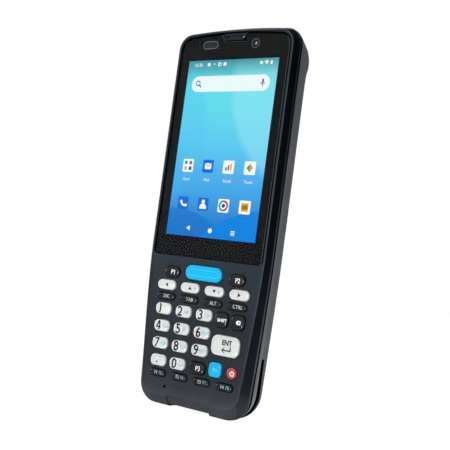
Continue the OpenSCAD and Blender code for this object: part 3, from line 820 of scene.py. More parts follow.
def front_housing():
    """Front housing with its hollows, the seat of the glass, and an opening for every key."""
    piece = dress(front_form("front_housing_shell"), FRONT, SIDE, EDGE_SHADE_AND_LIGHT, SEAL_AND_SHADE, RIM_PLASTIC)
    # the middle of the lower end is set back and raised
    half, rise, back = FOOT_RECESS
    step = box_tool(-half, half, -1, PART_D + 1, -1, PANEL_LINE[2] - 0.4)
    cut(step, copy_of(piece, "kept", d=back, z=rise))
    cut(piece, step)
    # hollows behind the keys and behind the screen, with the rib between them left standing
    deep = PART_D + 0.5
    keys_room = loft("keys_room", [ring_at(outline(PANEL_LINE, 1), PANEL_T),
                                   ring_at(outline(BODY_LINE, WALL), deep)])
    keep_side(keys_room, at(0, 0, RIB_Z[0]), (0, 0, 1))
    screen_room = prism("screen_room", outline(BODY_LINE, WALL), SHELF_D, deep)
    keep_side(screen_room, at(0, 0, RIB_Z[1]), (0, 0, -1))
    # seat of the glass round the receiver's tongue, and the opening for the display
    seat = prism("seat", outline(GLASS_LINE, -GLASS_GAP, -0.1), -1, GLASS_T + 0.05)
    cut(seat, prism("tongue", TONGUE, -2, GLASS_T + 1))
    lcd = box_tool(LCD_LOW.x / MM - 0.4, LCD_HIGH.x / MM + 0.4, -0.5, SHELF_D + 0.5,
                   LCD_LOW.z / MM - 0.4, LCD_HIGH.z / MM + 0.4)
    cut(piece, keys_room, screen_room, lcd)
    # the faces of the glass seat wear the black, as painted shade in the gap round the glass
    cut(piece, seat, lining=3)
    # receiver slot, camera, sensor and microphone
    cut(piece, prism("slot", SLOT, -1, SLOT_D))
    w, h, z = SOUND_WAY
    cut(piece, prism("sound_way", moved(round_rect(w, h, h / 2 - 0.01), 0, z), 0.2, deep))
    cut(piece, prism("camera_hole", disc(CAMERA_HOLE_R, *CAMERA_AT), 0, deep))
    sensor_hole = round_rect(SENSOR_SIZE[0] + 0.3, SENSOR_SIZE[1] + 0.3, 2.2)
    cut(piece, prism("sensor_hole", moved(sensor_hole, *SENSOR_AT), 0, deep))
    # the microphone hole is lined with the black, as painted shade
    cut(piece, prism("mic_hole", disc(MIC_R, *MIC_AT), -1, deep), lining=3)
    holes = []
    for name, (w, h, r, _) in CAPS.items():
        hole = round_rect(w + 2 * KEY_GAP, h + 2 * KEY_GAP, r + KEY_GAP)
        holes.append(prism("hole", moved(hole, *key_place(name)), 0, PANEL_T + 1, flare=0.2))
    cut(piece, joined(holes, "holes"))
    clean(piece)
    # the sides wear the near-black painted reflection, the strip before the groove its painted shade and
    # light, the parting face the black as painted shade, and the rim top its painted highlight
    faces_where(piece, lambda x, d, z, n: n.x * x > 0.4 * abs(x) and -0.2 < d < PART_D - EDGE_BAND
                and abs(x) > SIDE_X and z < BAND_TOP, 1)
    faces_where(piece, lambda x, d, z, n: n.x * x > 0.4 * abs(x) and PART_D - EDGE_BAND < d < PART_D
                and abs(x) > SIDE_X and z < BAND_TOP, 2)
    faces_where(piece, lambda x, d, z, n: d > PART_D - 0.02, 3)
    faces_where(piece, lambda x, d, z, n: d < -RIM + 0.05, 4)
    smooth(piece, 30)
    return fit(piece, "housing", "front_shell", "front_housing")


# ---------------------------------------------------------------- rear housing and battery door

STRIP_END = 8.3      # the front edge of the rear housing, painted pale at the foot as light, ends here
PAINTED_LIGHT_TOP = 120     # and its painted light ends at this height


def back_depth(z, inset=0.0):
    """Depth of the back at a height: it steps out smoothly at the scanner head."""
    rise = min(max((z - HEAD_Z) / HEAD_RISE, 0), 1)
    rise = rise * rise * (3 - 2 * rise)
    return BACK_D + (HEAD_D - BACK_D) * rise - inset


def back_form(name, inset=0.0, start=None):
    """The solid outside of everything behind the parting line, or its inside, drawn in by a wall."""
    start = GASKET_D if start is None else start
    r = EDGE_R - inset

    def lip(draw, d):
        # the body's outline below, which widens to the rear housing's own towards the head
        points = []
        for (xa, za), (xb, zb) in zip(outline(BODY_LINE, inset + draw), outline(REAR_LINE, inset + draw)):
            share = 0.2 + 0.8 * min(max((zb - 150) / 20, 0), 1)
            points.append((xa + (xb - xa) * share, za + (zb - za) * share))
        return ring_at(points, d)

    rings = [lip(0, start)]
    if not inset:
        rings = [lip(draw, d) for draw, d in ((GROOVE, start), (GROOVE, GROOVE_END), (0.12, GROOVE_END),
                                              (0, GROOVE_END + 0.12))]
        rings += [ring_at(outline(REAR_LINE), GROOVE_END + 0.6)]
    line = [REAR_LINE[0], REAR_LINE[1], 0, SLOPE_SUM - STRIP_END, REAR_LINE[4], 8.5, 0.5]
    rings.append(ring_at(outline(line, inset), STRIP_END))
    for k in range(0, 11):
        a = math.radians(9 * k)
        head = HEAD_D - inset - r + r * math.sin(a)
        draw = r * (1 - math.cos(a))
        slope_top = SLOPE_SUM - 1.41 * inset - head + inset
        line = [REAR_LINE[0], REAR_LINE[1], 0, slope_top, REAR_LINE[4], 7, 0.02 * k]
        points = outline(line, inset + draw, inset + FOOT_R * (1 - math.cos(a)))
        rings.append([at(x, back_depth(z, inset) - r + r * math.sin(a), z) for x, z in points])
    return loft(name, rings, last="strips")


REAR_SCREWS = [(26.4, 156), (29, 84), (22, 9.2)]
SEAT_D = 11.5
HEAD_R = 1.9
DOOR_D = 14.1
DECK_D = 12.4
BAY = [25.3, 8.2, 57.7, 138.3]      # half-width, floor depth, lower and upper end
PLATE = [24, 9, 3, 157]             # camera plate: width, height, corner radius, height of its middle
LENS_X = -5
FLASH_X = 7
SPEAKER_Z = 21
WINDOW = [30, 8.4]
SLOPE_MID = [12.6, SLOPE_SUM - 12.6]
STRAP_X = 19                        # inner end of the strap slots
STRAP_TOP = 30
STRAP_FRONT = [8.5, 8.3]            # front wall of a strap slot, at the foot and at its top
STRAP_BACK = [12.2, 10.6]           # and its back wall
STRAP_DEPTH = 2.6
LUG = [7.6, 13, 4.2]                # lug round a strap slot: front, back, and depth in from the side
TABS = ((52, 60), (126, 134))       # the tabs that hold the door, and the cuts for them
CONTACTS = [8.3, 2.4]               # recess over the bay: half-width, height
CARD = [13, 75, 93]                 # window to the card holder: half-width, lower and upper end
SOCKET = [4.55, 8.1, 11.5]          # mouth of the connector: half-width, front, back
NAIL_NOTCH = [89, 100]              # notch for a finger nail at the door: lower and upper end
BOSS_R = 3.4
DOOR_WALL = 1.5
HINGE = [1.2, 0.5]                  # axis of the door: in from the side, and behind the seam


def on_slope(x, up, out):
    """A point placed on the slope of the head: x, the distance up the slope, and out of it."""
    s = math.sqrt(0.5)
    return at(x, SLOPE_MID[0] - up * s + out * s, SLOPE_MID[1] + up * s + out * s)


def slope_prism(name, points, out0, out1):
    """A straight solid standing on the slope of the head."""
    return loft(name, [[on_slope(x, u, o) for x, u in points] for o in (out0, out1)])


def screw_places():
    return [(side * x, z) for x, z in REAR_SCREWS for side in (1, -1)]


def piece_is_outside(x, z):
    """Whether a point lies at the outside of a wall, not on its inner face."""
    return abs(x) > half_width(BODY_LINE, z) - 0.6 or z < 12


def strap_lugs():
    """Solid lugs in the lower corners of the rear housing, for the strap slots to be cut from."""
    front, back, depth = LUG
    lugs = []
    for side in (1, -1):
        corner = [(STRAP_X - 2, -1), (FAR_X, -1), (FAR_X, STRAP_TOP + 2), (STRAP_X - 2, STRAP_TOP + 2)]
        corner = [(side * x, z) for x, z in corner][::side]
        lug = prism("lug", outline(BODY_LINE, 1), front, back)
        cut(lug, prism("core", outline(BODY_LINE, depth), front - 0.6, back + 1))
        lugs.append(cut(lug, prism("corner", corner, 6, 15), join="INTERSECT"))
    return lugs


def strap_slots():
    """Tools for the strap slots, which widen towards the foot."""
    slots = []
    for side in (1, -1):
        rings = []
        for foot, top in (STRAP_FRONT, STRAP_BACK):
            corners = ((STRAP_X, foot, -1), (FAR_X, foot, -1), (FAR_X, top, STRAP_TOP),
                       (STRAP_X, top, STRAP_TOP))
            rings.append([at(side * x, d, z) for x, d, z in corners[::side]])
        slots.append(cut(loft("slot", rings), prism("core", outline(BODY_LINE, STRAP_DEPTH), 8, 13)))
    return slots


def rear_housing():
    """Rear housing with the battery bay, bosses, strap slots and the openings of the back."""
    piece = dress(back_form("rear_housing_shell"), REAR, SEAL_AND_SHADE, REAR_EDGE)
    inside = back_form("inside", WALL, GASKET_D - 0.5)
    cut(inside, box_tool(-FAR_X, FAR_X, DECK_D, FAR_D, DOOR_Z[0] - 2.1, DOOR_Z[1] + 2.1))
    cut(piece, inside)
    # walls of the battery bay, screw bosses and strap lugs
    half, floor, low, high = BAY
    cut(piece, box_tool(-half - 1, half + 1, floor - 1, DECK_D + 0.4, low - 1, high + 3.4), join="UNION")
    bosses = [prism("boss", disc(BOSS_R, x, z), GASKET_D + 0.05, DECK_D + 0.4 if z == 84 else BACK_D - 1)
              for x, z in screw_places()]
    cut(piece, *bosses, *strap_lugs(), join="UNION")
    # room for the door, the bay, the contact recess and the card window
    cut(piece, box_tool(-FAR_X, FAR_X, DOOR_D, FAR_D, DOOR_Z[0] - 0.3, DOOR_Z[1] + 0.3))
    cut(piece, box_tool(-half, half, floor, FAR_D, low, high))
    cut(piece, box_tool(-CONTACTS[0], CONTACTS[0], floor, FAR_D, high - 1, high + CONTACTS[1]))
    cut(piece, box_tool(-CARD[0], CARD[0], floor - 2, floor + 1, *CARD[1:]))
    for z0, z1 in TABS:
        cut(piece, box_tool(-32.2, -29.5, DECK_D - 0.1, DOOR_D + 1, z0 - 0.4, z1 + 0.4))
    # finger notch, recess between the feet, strap slots and the mouth of the connector
    cut(piece, box_tool(BODY_HALF_W - 2, FAR_X, DOOR_D - 1.5, DOOR_D + 1, *NAIL_NOTCH))
    half_foot, rise, _ = FOOT_RECESS
    cut(piece, box_tool(-half_foot, half_foot, -1, FAR_D, -1, rise))
    # the strap slots are lined with the black, as painted shade
    cut(piece, *strap_slots(), lining=1)
    cut(piece, box_tool(-SOCKET[0], *SOCKET, -1, WALL + 0.1))
    back_openings(piece)
    clean(piece)
    # the front edge of the sides wears the paler material as painted light
    faces_where(piece, lambda x, d, z, n: n.x * x > 0.3 * abs(x) and GROOVE_END < d < STRIP_END
                and abs(x) > SIDE_X and z < PAINTED_LIGHT_TOP and piece_is_outside(x, z), 2)
    # the faces in front of the rear housing's step wear the black, as painted shade in the groove
    faces_where(piece, lambda x, d, z, n: d < GROOVE_END + 0.01, 1)
    smooth(piece, 30)
    return fit(piece, "housing", "rear_shell", "rear_housing")


def back_openings(piece):
    """Cuts the openings of the scan window, camera plate, loudspeaker and screws."""
    w, h = WINDOW
    cut(piece, slope_prism("seat", round_rect(w + 0.2, h + 0.2, 1.2), -1.3, 3))
    cut(piece, slope_prism("opening", round_rect(w - 3, h - 2, 0.6), -6, 2))
    w, h, r, z = PLATE
    seat = moved(round_rect(w + 0.2, h + 0.2, r + 0.1), 0, z)
    cut(piece, prism("plate_seat", seat, BACK_D - 0.8, FAR_D))
    cut(piece, prism("lens_hole", disc(3.6, LENS_X, z), 10, FAR_D))
    cut(piece, prism("flash_hole", disc(1.8, FLASH_X, z), 10, FAR_D))
    holes = [prism("hole", disc(0.7, 3 * i, SPEAKER_Z + 3 * k, 16), BACK_D - WALL - 0.5, FAR_D)
             for i in range(-2, 3) for k in range(-1, 2)]
    cut(piece, joined(holes, "holes"))
    for x, z in screw_places():
        cut(piece, prism("shank", disc(1.15, x, z), PART_D, SEAT_D + 1))
        cut(piece, prism("head", disc(HEAD_R + 0.3, x, z), SEAT_D, FAR_D))


def battery_door():
    """The panel of the back that turns on its left edge, with two tabs that drop inside the wall."""
    piece = back_form("battery_door_panel")
    keep_side(piece, at(0, DOOR_D + 0.05, 0), (0, -1, 0))
    keep_side(piece, at(0, 0, DOOR_Z[0]), (0, 0, -1))
    keep_side(piece, at(0, 0, DOOR_Z[1]), (0, 0, 1))
    inside = back_form("inside", DOOR_WALL)
    keep_side(inside, at(0, 0, DOOR_Z[0] + 1.2), (0, 0, -1))
    keep_side(inside, at(0, 0, DOOR_Z[1] - 1.2), (0, 0, 1))
    cut(piece, inside)
    hinge_x, hinge_d = -BODY_HALF_W + HINGE[0], DOOR_D + HINGE[1]
    cut(piece, box_tool(-FAR_X, hinge_x, 0, hinge_d, 0, BODY_H))
    # shallow grip ribs for the thumb, near the right edge
    ribs = [prism("rib", moved(round_rect(12, 1.2, 0.59), 18, 91 + 2.6 * k), BACK_D - 0.35, FAR_D)
            for k in range(4)]
    cut(piece, joined(ribs, "ribs"))
    # the round edge that it turns on, and the two tabs
    nothing_selected()
    bpy.ops.mesh.primitive_cylinder_add(vertices=24, radius=0.4 * MM, depth=(DOOR_Z[1] - DOOR_Z[0]) * MM,
                                        location=at(hinge_x, hinge_d, sum(DOOR_Z) / 2))
    edge = bpy.context.object
    bpy.ops.object.transform_apply(location=True, rotation=True, scale=True)
    cut(piece, edge, join="UNION")
    for z0, z1 in TABS:
        cut(piece, box_tool(-31.9, -30.7, DECK_D + 0.3, DOOR_D + 1.6, z0, z1), join="UNION")
    clean(piece)
    dress(piece, DOOR)
    smooth(piece, 30)
    return fit(piece, "battery_door", "rear_shell", "battery_door")


def housing_gasket():
    """The black seal at the bottom of the parting groove."""
    rise = FOOT_RECESS[1]
    piece = prism("housing_seal", outline(BODY_LINE, GROOVE + 0.05, rise + GROOVE), PART_D, GASKET_D)
    cut(piece, prism("inside", outline(BODY_LINE, WALL, rise + WALL - 0.2), PART_D - 1, GASKET_D + 1))
    clean(piece)
    dress(piece, SEAL_AND_SHADE)
    smooth(piece)
    return fit(piece, "housing", "seal", "housing_gasket")


# ---------------------------------------------------------------- glass, display and receiver


def cover_glass():
    """Clear slab with a ground chamfer round its edge and round the receiver notch."""
    chamfer = 0.2
    piece = loft("cover_glass_slab", [
        ring_at(outline(GLASS_LINE, chamfer), 0), ring_at(outline(GLASS_LINE), chamfer),
        ring_at(outline(GLASS_LINE), GLASS_T)])
    cut(piece, loft("notch", [ring_at(grown(NOTCH, 2 * chamfer), -chamfer), ring_at(NOTCH, chamfer),
                              ring_at(NOTCH, GLASS_T + 1)]))
    clean(piece)
    dress(piece, GLASS, GLASS_EDGE, BORDER)
    # the glass's side walls and its upper and lower chamfers wear the black ink as painted shade; the
    # chamfers at the sides and the notch wear the grey painted highlight
    faces_where(piece, lambda x, d, z, n: abs(n.y) < 0.9, 2)
    faces_where(piece, lambda x, d, z, n: 0.3 < abs(n.y) < 0.9 and (
        abs(n.x) > 0.4 or abs(x) < 12 and n.z > 0 and 176 < z < 180), 1)
    smooth(piece)
    return fit(piece, "housing", "cover_glass", "cover_glass")


def glass_border():
    """The black print behind the glass, with a window for the display and one for the camera."""
    w, h, z = SCREEN
    low, high = PICTURE_D + 0.02, PICTURE_D + 0.06
    piece = prism("screen_border", outline(GLASS_LINE, 0.3), low, high)
    cut(piece, prism("notch", grown(NOTCH, 0.3), 0, 2))
    cut(piece, box_tool(-w / 2, w / 2, 0, 2, z - h / 2, z + h / 2))
    cut(piece, prism("camera", disc(1.25, *CAMERA_AT), 0, 2))
    clean(piece)
    dress(piece, BORDER)
    return fit(piece, "housing", "cover_glass")


# ---------------------------------------------------------------- prints and legends

TEXT_CAP = 0.73      # height of a capital of the built-in font, as a share of its size
FILM = 0.03          # half the thickness that a print is drawn with


def lettering(text, x, z, height, squeeze=1.0, bold=0.0):
    """Flat letters centred on (x, z), with capitals of that height.

    A squeeze makes them narrow, and bold lettering gains that much all round.
    """
    nothing_selected()
    bpy.ops.object.text_add()
    made = bpy.context.object
    made.data.body = text
    made.data.align_x = "CENTER"
    made.data.size = height / TEXT_CAP * MM
    made.data.resolution_u = 3
    made.data.extrude = FILM * MM
    made.data.offset = bold * MM
    bpy.ops.object.convert(target="MESH")
    turn = Matrix.Rotation(math.radians(90), 4, "X") @ Matrix.Diagonal((squeeze, 1, 1, 1))
    made.data.transform(Matrix.Translation(at(x, 0, z - height / 2)) @ turn)
    return clean(made)


def shape(points, x=0.0, z=0.0):
    """A flat print with this outline, shifted to (x, z)."""
    points = moved(points, x, z)
    return loft("print", [ring_at(points, FILM), ring_at(points, -FILM)])


def stroke(points, width):
    """The outline of a line of that width drawn along the points."""
    left, right = [], []
    for k, (x, z) in enumerate(points):
        before = Vector(points[max(k - 1, 0)])
        after = Vector(points[min(k + 1, len(points) - 1)])
        along = (after - before).normalized()
        left.append((x - along.y * width / 2, z + along.x * width / 2))
        right.append((x + along.y * width / 2, z - along.x * width / 2))
    return left + right[::-1]


def arc(r, start, end, x=0.0, z=0.0, steps=16):
    """Points along an arc, from one angle to another in degrees."""
    turns = [math.radians(start + (end - start) * k / steps) for k in range(steps + 1)]
    return [(x + r * math.cos(a), z + r * math.sin(a)) for a in turns]


def triangle(w, h, degrees):
    """A triangle that points at an angle: 0 to the right, 90 up."""
    a = math.radians(degrees)
    corners = [(h / 2, 0), (-h / 2, w / 2), (-h / 2, -w / 2)]
    return [(x * math.cos(a) - z * math.sin(a), x * math.sin(a) + z * math.cos(a)) for x, z in corners]


# ---------------------------------------------------------------- keys

FLANGE = [0.4, 1.9, 2.5]        # width, and the depths between which it lies
CAP_EDGE = 0.55                 # radius of a cap's outer edge
CREST = 0.6                     # from here inwards the top falls into its dish
SLOPE = 0.85                    # width of that fall
DISH = 0.3                      # depth of the dish
TOP_INSETS = (0.6, 0.74, 0.88, 1.02, 1.16, 1.3, 1.45)


def cap_inset(cap, x, z):
    """How far in from the edge of a cap a point lies."""
    w, h, r = cap[:3]
    corner = Vector((abs(x) - w / 2 + r, abs(z) - h / 2 + r))
    if min(corner) > 0:
        return r - corner.length
    return min(w / 2 - abs(x), h / 2 - abs(z))


def cap_top(cap, inset):
    """Depth of a cap's top: a rounded edge, a crest, and a shallow dish for the finger."""
    if inset < CAP_EDGE:
        return CAP_EDGE - math.sqrt(CAP_EDGE ** 2 - (CAP_EDGE - max(inset, 0)) ** 2) - cap[3]
    fall = min(max((inset - CREST) / SLOPE, 0), 1)
    return DISH * fall * fall * (3 - 2 * fall) - cap[3]


def keycap(cap):
    """A moulded key cap: flange behind the panel, straight wall, rounded edge and dished top."""
    w, h, r, _ = cap
    side, d0, d1 = FLANGE
    wide = round_rect(w + 2 * side, h + 2 * side, r + side)
    rings = [ring_at(wide, d1), ring_at(wide, d0), ring_at(round_rect(w, h, r), d0)]
    edge = [CAP_EDGE * (1 - math.cos(math.radians(15 * k))) for k in range(7)]
    for inset in edge + list(TOP_INSETS):
        points = round_rect(w - 2 * inset, h - 2 * inset, max(r - inset, 0.05))
        rings.append(ring_at(points, cap_top(cap, inset)))
    return smooth(loft("cap", rings), 50)


def racetrack(piece, cap):
    """A raised racetrack-shaped line moulded into the dish of the scan key."""
    w, h, r, _ = cap
    rings = []
    for inset, rise in ((1.65, -0.3), (1.65, 0.0), (1.8, 0.24), (2.1, 0.24), (2.25, 0.0), (2.25, -0.3)):
        points = round_rect(w - 2 * inset, h - 2 * inset, r - inset)
        rings.append(ring_at(points, cap_top(cap, inset) - rise))
    # the ridge's faces wear the paler blue, a painted highlight
    return cut(piece, loft("ridge", rings), join="UNION", lining=1)


def on_cap(piece, cap):
    """Lays a flat print, drawn round a cap's middle, on the cap's dished top."""
    pick(piece)
    bpy.ops.object.mode_set(mode="EDIT")
    half = (cap[0] / 2, cap[1] / 2)
    for side, normal in ((0, (1, 0, 0)), (1, (0, 0, 1))):
        for inset in TOP_INSETS:
            for way in (1, -1):
                away = way * (half[side] - inset)
                place = at(away, 0, 0) if side == 0 else at(0, 0, away)
                bpy.ops.mesh.select_all(action="SELECT")
                bpy.ops.mesh.bisect(plane_co=place, plane_no=normal)
    bpy.ops.object.mode_set(mode="OBJECT")
    for vert in piece.data.vertices:
        p = vert.co / MM
        film = p.y - GLASS_Y - FILM
        vert.co.y = (GLASS_Y + cap_top(cap, cap_inset(cap, p.x, p.z)) + film) * MM
    return piece


def return_arrow(w, h):
    """The bent arrow of the enter key."""
    low = -h * 0.1
    bar = stroke([(w / 2, h / 2), (w / 2, low - 0.25)], 0.5)
    line = stroke([(w / 2, low), (-w / 2 + 0.3, low)], 0.5)
    tip = stroke([(-w / 2 + h * 0.42, h * 0.28), (-w / 2, low), (-w / 2 + h * 0.42, low - h * 0.38)], 0.42)
    return [bar, line, tip]


def speaker(sign):
    """A loudspeaker with a plus or minus beside it."""
    horn = [(-0.9, -0.35), (-0.5, -0.35), (0.1, -0.85), (0.1, 0.85), (-0.5, 0.35), (-0.9, 0.35)]
    marks = [stroke([(0.6, 0), (1.5, 0)], 0.3)]
    if sign == "+":
        marks.append(stroke([(1.05, -0.45), (1.05, 0.45)], 0.3))
    return [horn] + marks


def cross(half):
    """Two crossed strokes."""
    return [stroke([(-half, way * half), (half, -way * half)], 0.32) for way in (1, -1)]


def key_legends():
    """Legends of every key: [what, x, z, height, share of the normal width, ink]."""
    legends = {}
    letters = dict(zip("23456789", ("ABC", "DEF", "GHI", "JKL", "MNO", "PQRS", "TUV", "WXYZ")))
    for digit in "123456789":
        legends[digit] = [(digit, -1.9, 0.25, 4.85, 0.9, BLACK_INK)]
        if digit in letters:
            narrow = 0.58 if len(letters[digit]) > 3 else 0.78
            legends[digit].append((letters[digit], 2.2, 0.05, 2.0, narrow, BLUE_INK))
    # bold lettering would fill in the 4, so it is drawn from three bars
    four = [stroke([(0.5, -2.45), (0.5, 2.5)], 0.66), stroke([(-1.45, -1.05), (1.25, -1.05)], 0.64),
            stroke([(-1.15, -0.9), (0.42, 2.25)], 0.62)]
    legends["4"][0] = (four, -1.9, 0.25, 0, 0, BLACK_INK)
    space = stroke([(-1.3, 0.5), (-1.3, -0.5), (1.3, -0.5), (1.3, 0.5)], 0.35)
    legends["0"] = [("0", -1.9, 0.25, 4.85, 0.9, BLACK_INK), ([space], 2.1, 0, 0, 0, BLUE_INK)]
    legends["dot"] = [([disc(0.42)], -0.8, -0.9, 0, 0, BLACK_INK),
                      ([disc(0.25, z=0.4)], 1.3, 0.3, 0, 0, BLUE_INK)]
    for name, text in (("p1", "P1"), ("p2", "P2"), ("p3", "P3")):
        legends[name] = [(text, 0.6, 0, 2.3, 0.9, WHITE_INK)]
    for name, angle in (("left", 180), ("right", 0), ("up", 90), ("down", 270)):
        legends[name] = [([triangle(2.0, 1.5, angle)], 0, 0, 0, 0, BLACK_INK)]
    legends["up"].append((speaker("+"), 3.0, 0, 0, 0, BLUE_INK))
    legends["down"].append((speaker("-"), 3.0, 0, 0, 0, BLUE_INK))
    for name, text in (("esc", "ESC"), ("tab", "TAB"), ("alt", "ALT"), ("ctrl", "CTRL")):
        legends[name] = [(text, 0.4, 0.1, 1.75, 0.95, DULL_INK)]
    for k in range(1, 5):
        legends["f%d" % k] = [("F%d" % k, -1.0, 0.1, 1.7, 0.85, DULL_INK),
                              ("F%d" % (k + 4), 1.8, 0.1, 1.7, 0.85, BLUE_INK)]
    legends["shift"] = [("SHIFT", 0.45, -0.1, 1.6, 1.0, WHITE_INK)]
    tag = [(-1.4, 0), (-0.6, 0.95), (1.2, 0.95), (1.2, -0.95), (-0.6, -0.95)]
    legends["backspace"] = [([tag], 0.3, 0, 0, 0, WHITE_INK), (cross(0.5), 0.6, 0, 0, 0, BLACK_INK)]
    legends["enter"] = [("ENT", 0.8, 1.7, 2.4, 0.9, BLACK_INK),
                        (return_arrow(4.6, 3.1), 0.7, -1.6, 0, 0, BLACK_INK)]
    legends["fn"] = [("Fn", 0, 0, 2.1, 0.9, PALE_BLUE_INK)]
    power = [stroke(arc(1.05, 125, 415), 0.42), stroke([(0, 0.1), (0, 1.45)], 0.42)]
    legends["power"] = [(power, 0.3, -0.1, 0, 0, WHITE_INK)]
    return legends


BOLD = {BLACK_INK: 0.09, WHITE_INK: 0.03}       # what these inks add all round a letter


def legend_on(name, cap, slot, marks):
    """Prints a key's marks on its cap."""
    prints = []
    for what, dx, dz, height, squeeze, colour in marks:
        if isinstance(what, str):
            parts = [lettering(what, dx, dz, height, squeeze, BOLD.get(colour, 0.0))]
        else:
            parts = [shape(points, dx, dz) for points in what]
        prints += [dress(part, colour) for part in parts]
    x, z = key_place(name)
    legend = shifted(on_cap(joined(prints, "legend_" + name), cap), x=x, z=z)
    fit(legend, "key_" + name, slot)


def keys():
    """Every key, with its legend printed on it."""
    paints = {"scan": (BLUE, "blue_key"), "fn": (BLUE, "blue_key"), "power": (RED, "red_key")}
    dark = ("p1", "p2", "p3", "esc", "tab", "alt", "ctrl", "shift", "backspace", "f1", "f2", "f3", "f4")
    legends = key_legends()
    moulded = {}
    for name, cap in CAPS.items():
        if cap not in moulded:
            moulded[cap] = keycap(cap)
        if name == "scan":
            smooth(racetrack(moulded[cap], cap), 50)
        x, z = key_place(name)
        piece = copy_of(moulded[cap], "keycap_" + name, x=x, z=z)
        material, slot = paints.get(name, (BLACK, "black_key") if name in dark else (SILVER, "silver_key"))
        dress(piece, material, *([BLUE_RIDGE] if name == "scan" else []))
        fit(piece, "key_" + name, slot, "key_" + name)
        if name in legends:
            legend_on(name, cap, slot, legends[name])
    for form in moulded.values():
        bpy.data.objects.remove(form)


# ---------------------------------------------------------------- the lit display


def wallpaper_light():
    """Sky blue that deepens towards the foot, with broad discs of light and two dark hills."""
    material = light_of("wallpaper_light", "#65daee")
    tree = material.node_tree
    place = node(tree, "ShaderNodeTexCoord").outputs["Object"]
    place = node(tree, "ShaderNodeMapping", {
        "Vector": place, "Location": (0, 0, -SCREEN[2]), "Scale": (1 / MM,) * 3}).outputs["Vector"]
    split = node(tree, "ShaderNodeSeparateXYZ", {0: place})
    height = node(tree, "ShaderNodeMapRange", {
        "Value": split.outputs["Z"], "From Min": -SCREEN[1] / 2, "From Max": SCREEN[1] / 2})
    stops = [(0.0, "#1f73c6"), (0.1, "#2d86d2"), (0.26, "#45a6e7"), (0.4, "#54b8ee"), (0.52, "#5ecbf1"),
             (0.68, "#63d8ee"), (0.84, "#62dfeb"), (0.95, "#5cc4d2")]
    colour = ramp(tree, height.outputs["Result"], stops)
    # discs: [centre x, centre z, radius, softness of the edge, colour, strength]
    discs = [(58, 34, 58, 4, "#9deaf6", 0.42), (-52, 6, 43, 2, "#45bdf2", 0.25),
             (-24, -84, 54, 0.6, "#1f74cc", 0.7), (34, -88, 60, 0.6, "#0f84e0", 0.9)]
    for x, z, radius, soft, tint, strength in discs:
        away = node(tree, "ShaderNodeVectorMath", {0: place, 1: (x, 0, z)}, operation="SUBTRACT")
        flat = node(tree, "ShaderNodeVectorMath", {0: away.outputs[0], 1: (1, 0, 1)}, operation="MULTIPLY")
        far = node(tree, "ShaderNodeVectorMath", {0: flat.outputs[0]}, operation="LENGTH")
        inside = node(tree, "ShaderNodeMapRange", {
            "Value": far.outputs["Value"], "From Min": radius - soft, "From Max": radius,
            "To Min": strength, "To Max": 0.0})
        colour = node(tree, "ShaderNodeMixRGB", {
            "Fac": inside.outputs["Result"], "Color1": colour, "Color2": paint(tint)}).outputs["Color"]
    # the status line darkens the picture behind it
    shade = node(tree, "ShaderNodeMapRange", {
        "Value": split.outputs["Z"], "From Min": 36, "From Max": 43.5, "To Max": 0.9})
    colour = node(tree, "ShaderNodeMixRGB", {
        "Fac": shade.outputs["Result"], "Color1": colour, "Color2": paint("#3f8d9a")}).outputs["Color"]
    tree.links.new(colour, tree.nodes["Emission"].inputs["Color"])
    return material


LIGHTS = {"white": "#f6fbfd", "pale": "#e2f6fb", "field": "#ecfafd", "blue": "#1a6fe0", "navy": "#2c55a8",
          "teal": "#1aa58e", "red": "#c8443a", "amber": "#f0a824", "grey": "#6b747a", "brown": "#3a2c10"}
LAYER_T = 0.01       # thickness of a lit shape, and half the step from layer to layer
TILE_X = (-18.2, -6.1, 5.9, 18.0)
TILE_Z = (-9.0, -27.6)


def lit(points, x, z, layer, material):
    """A flat lit shape of the picture; a higher layer lies nearer to the glass."""
    points = moved(points, x, SCREEN[2] + z)
    d = PICTURE_D - 2 * LAYER_T * layer
    return dress(loft("picture", [ring_at(points, d), ring_at(points, d + LAYER_T)]), material)


def words(text, height, x, z, layer, material):
    """Flat lit letters of the picture."""
    made = lettering(text, x, SCREEN[2] + z, height)
    lowest = max(v.co.y for v in made.data.vertices)
    for vert in made.data.vertices:
        flat = 0.0 if vert.co.y < lowest - 1e-6 else LAYER_T
        vert.co.y = (GLASS_Y + PICTURE_D - 2 * LAYER_T * layer + flat) * MM
    return dress(made, material)


def status_line():
    """Clock, notices, volume, radio and battery: [outline, or text and height, x, z, layer, light]."""
    z = 41.4
    return [(("10:30", 1.7), -20.2, z, 1, "white"),
            (disc(0.9, count=16), -13.8, z, 1, "white"),
            (disc(0.35, count=12), -10.4, z + 0.2, 1, "white"),
            (stroke(arc(0.8, 0, 350), 0.5), -7.4, z, 1, "white"),
            (round_rect(1.7, 1.7, 0.3, 3), -4.3, z, 1, "white"),
            (round_rect(1.7, 1.5, 0.4, 3), 16.7, z, 1, "pale"),
            ([(0, -0.9)] + arc(1.9, 50, 130, z=-0.9, steps=8), 19.6, z, 1, "white"),
            (round_rect(1.0, 1.8, 0.2, 3), 22.3, z, 1, "white")]


def search_field():
    """The rounded field with a magnifier and a microphone."""
    return [(round_rect(45.6, 7.9, 3.95, 8), 0, 31.7, 1, "pale"),
            (round_rect(45.0, 7.3, 3.65, 8), 0, 31.8, 2, "field"),
            (stroke(arc(1.15, 0, 350), 0.5), -18.9, 32.1, 3, "navy"),
            (stroke([(0, 0), (1.0, -1.1)], 0.6), -18.0, 31.2, 3, "navy"),
            (round_rect(1.0, 2.2, 0.5, 4), 18.9, 32.5, 3, "navy"),
            (stroke(arc(1.25, 200, 340), 0.4), 18.9, 32.3, 3, "grey"),
            (stroke([(0, -0.6), (0, 0.6)], 0.4), 18.9, 30.4, 3, "grey")]


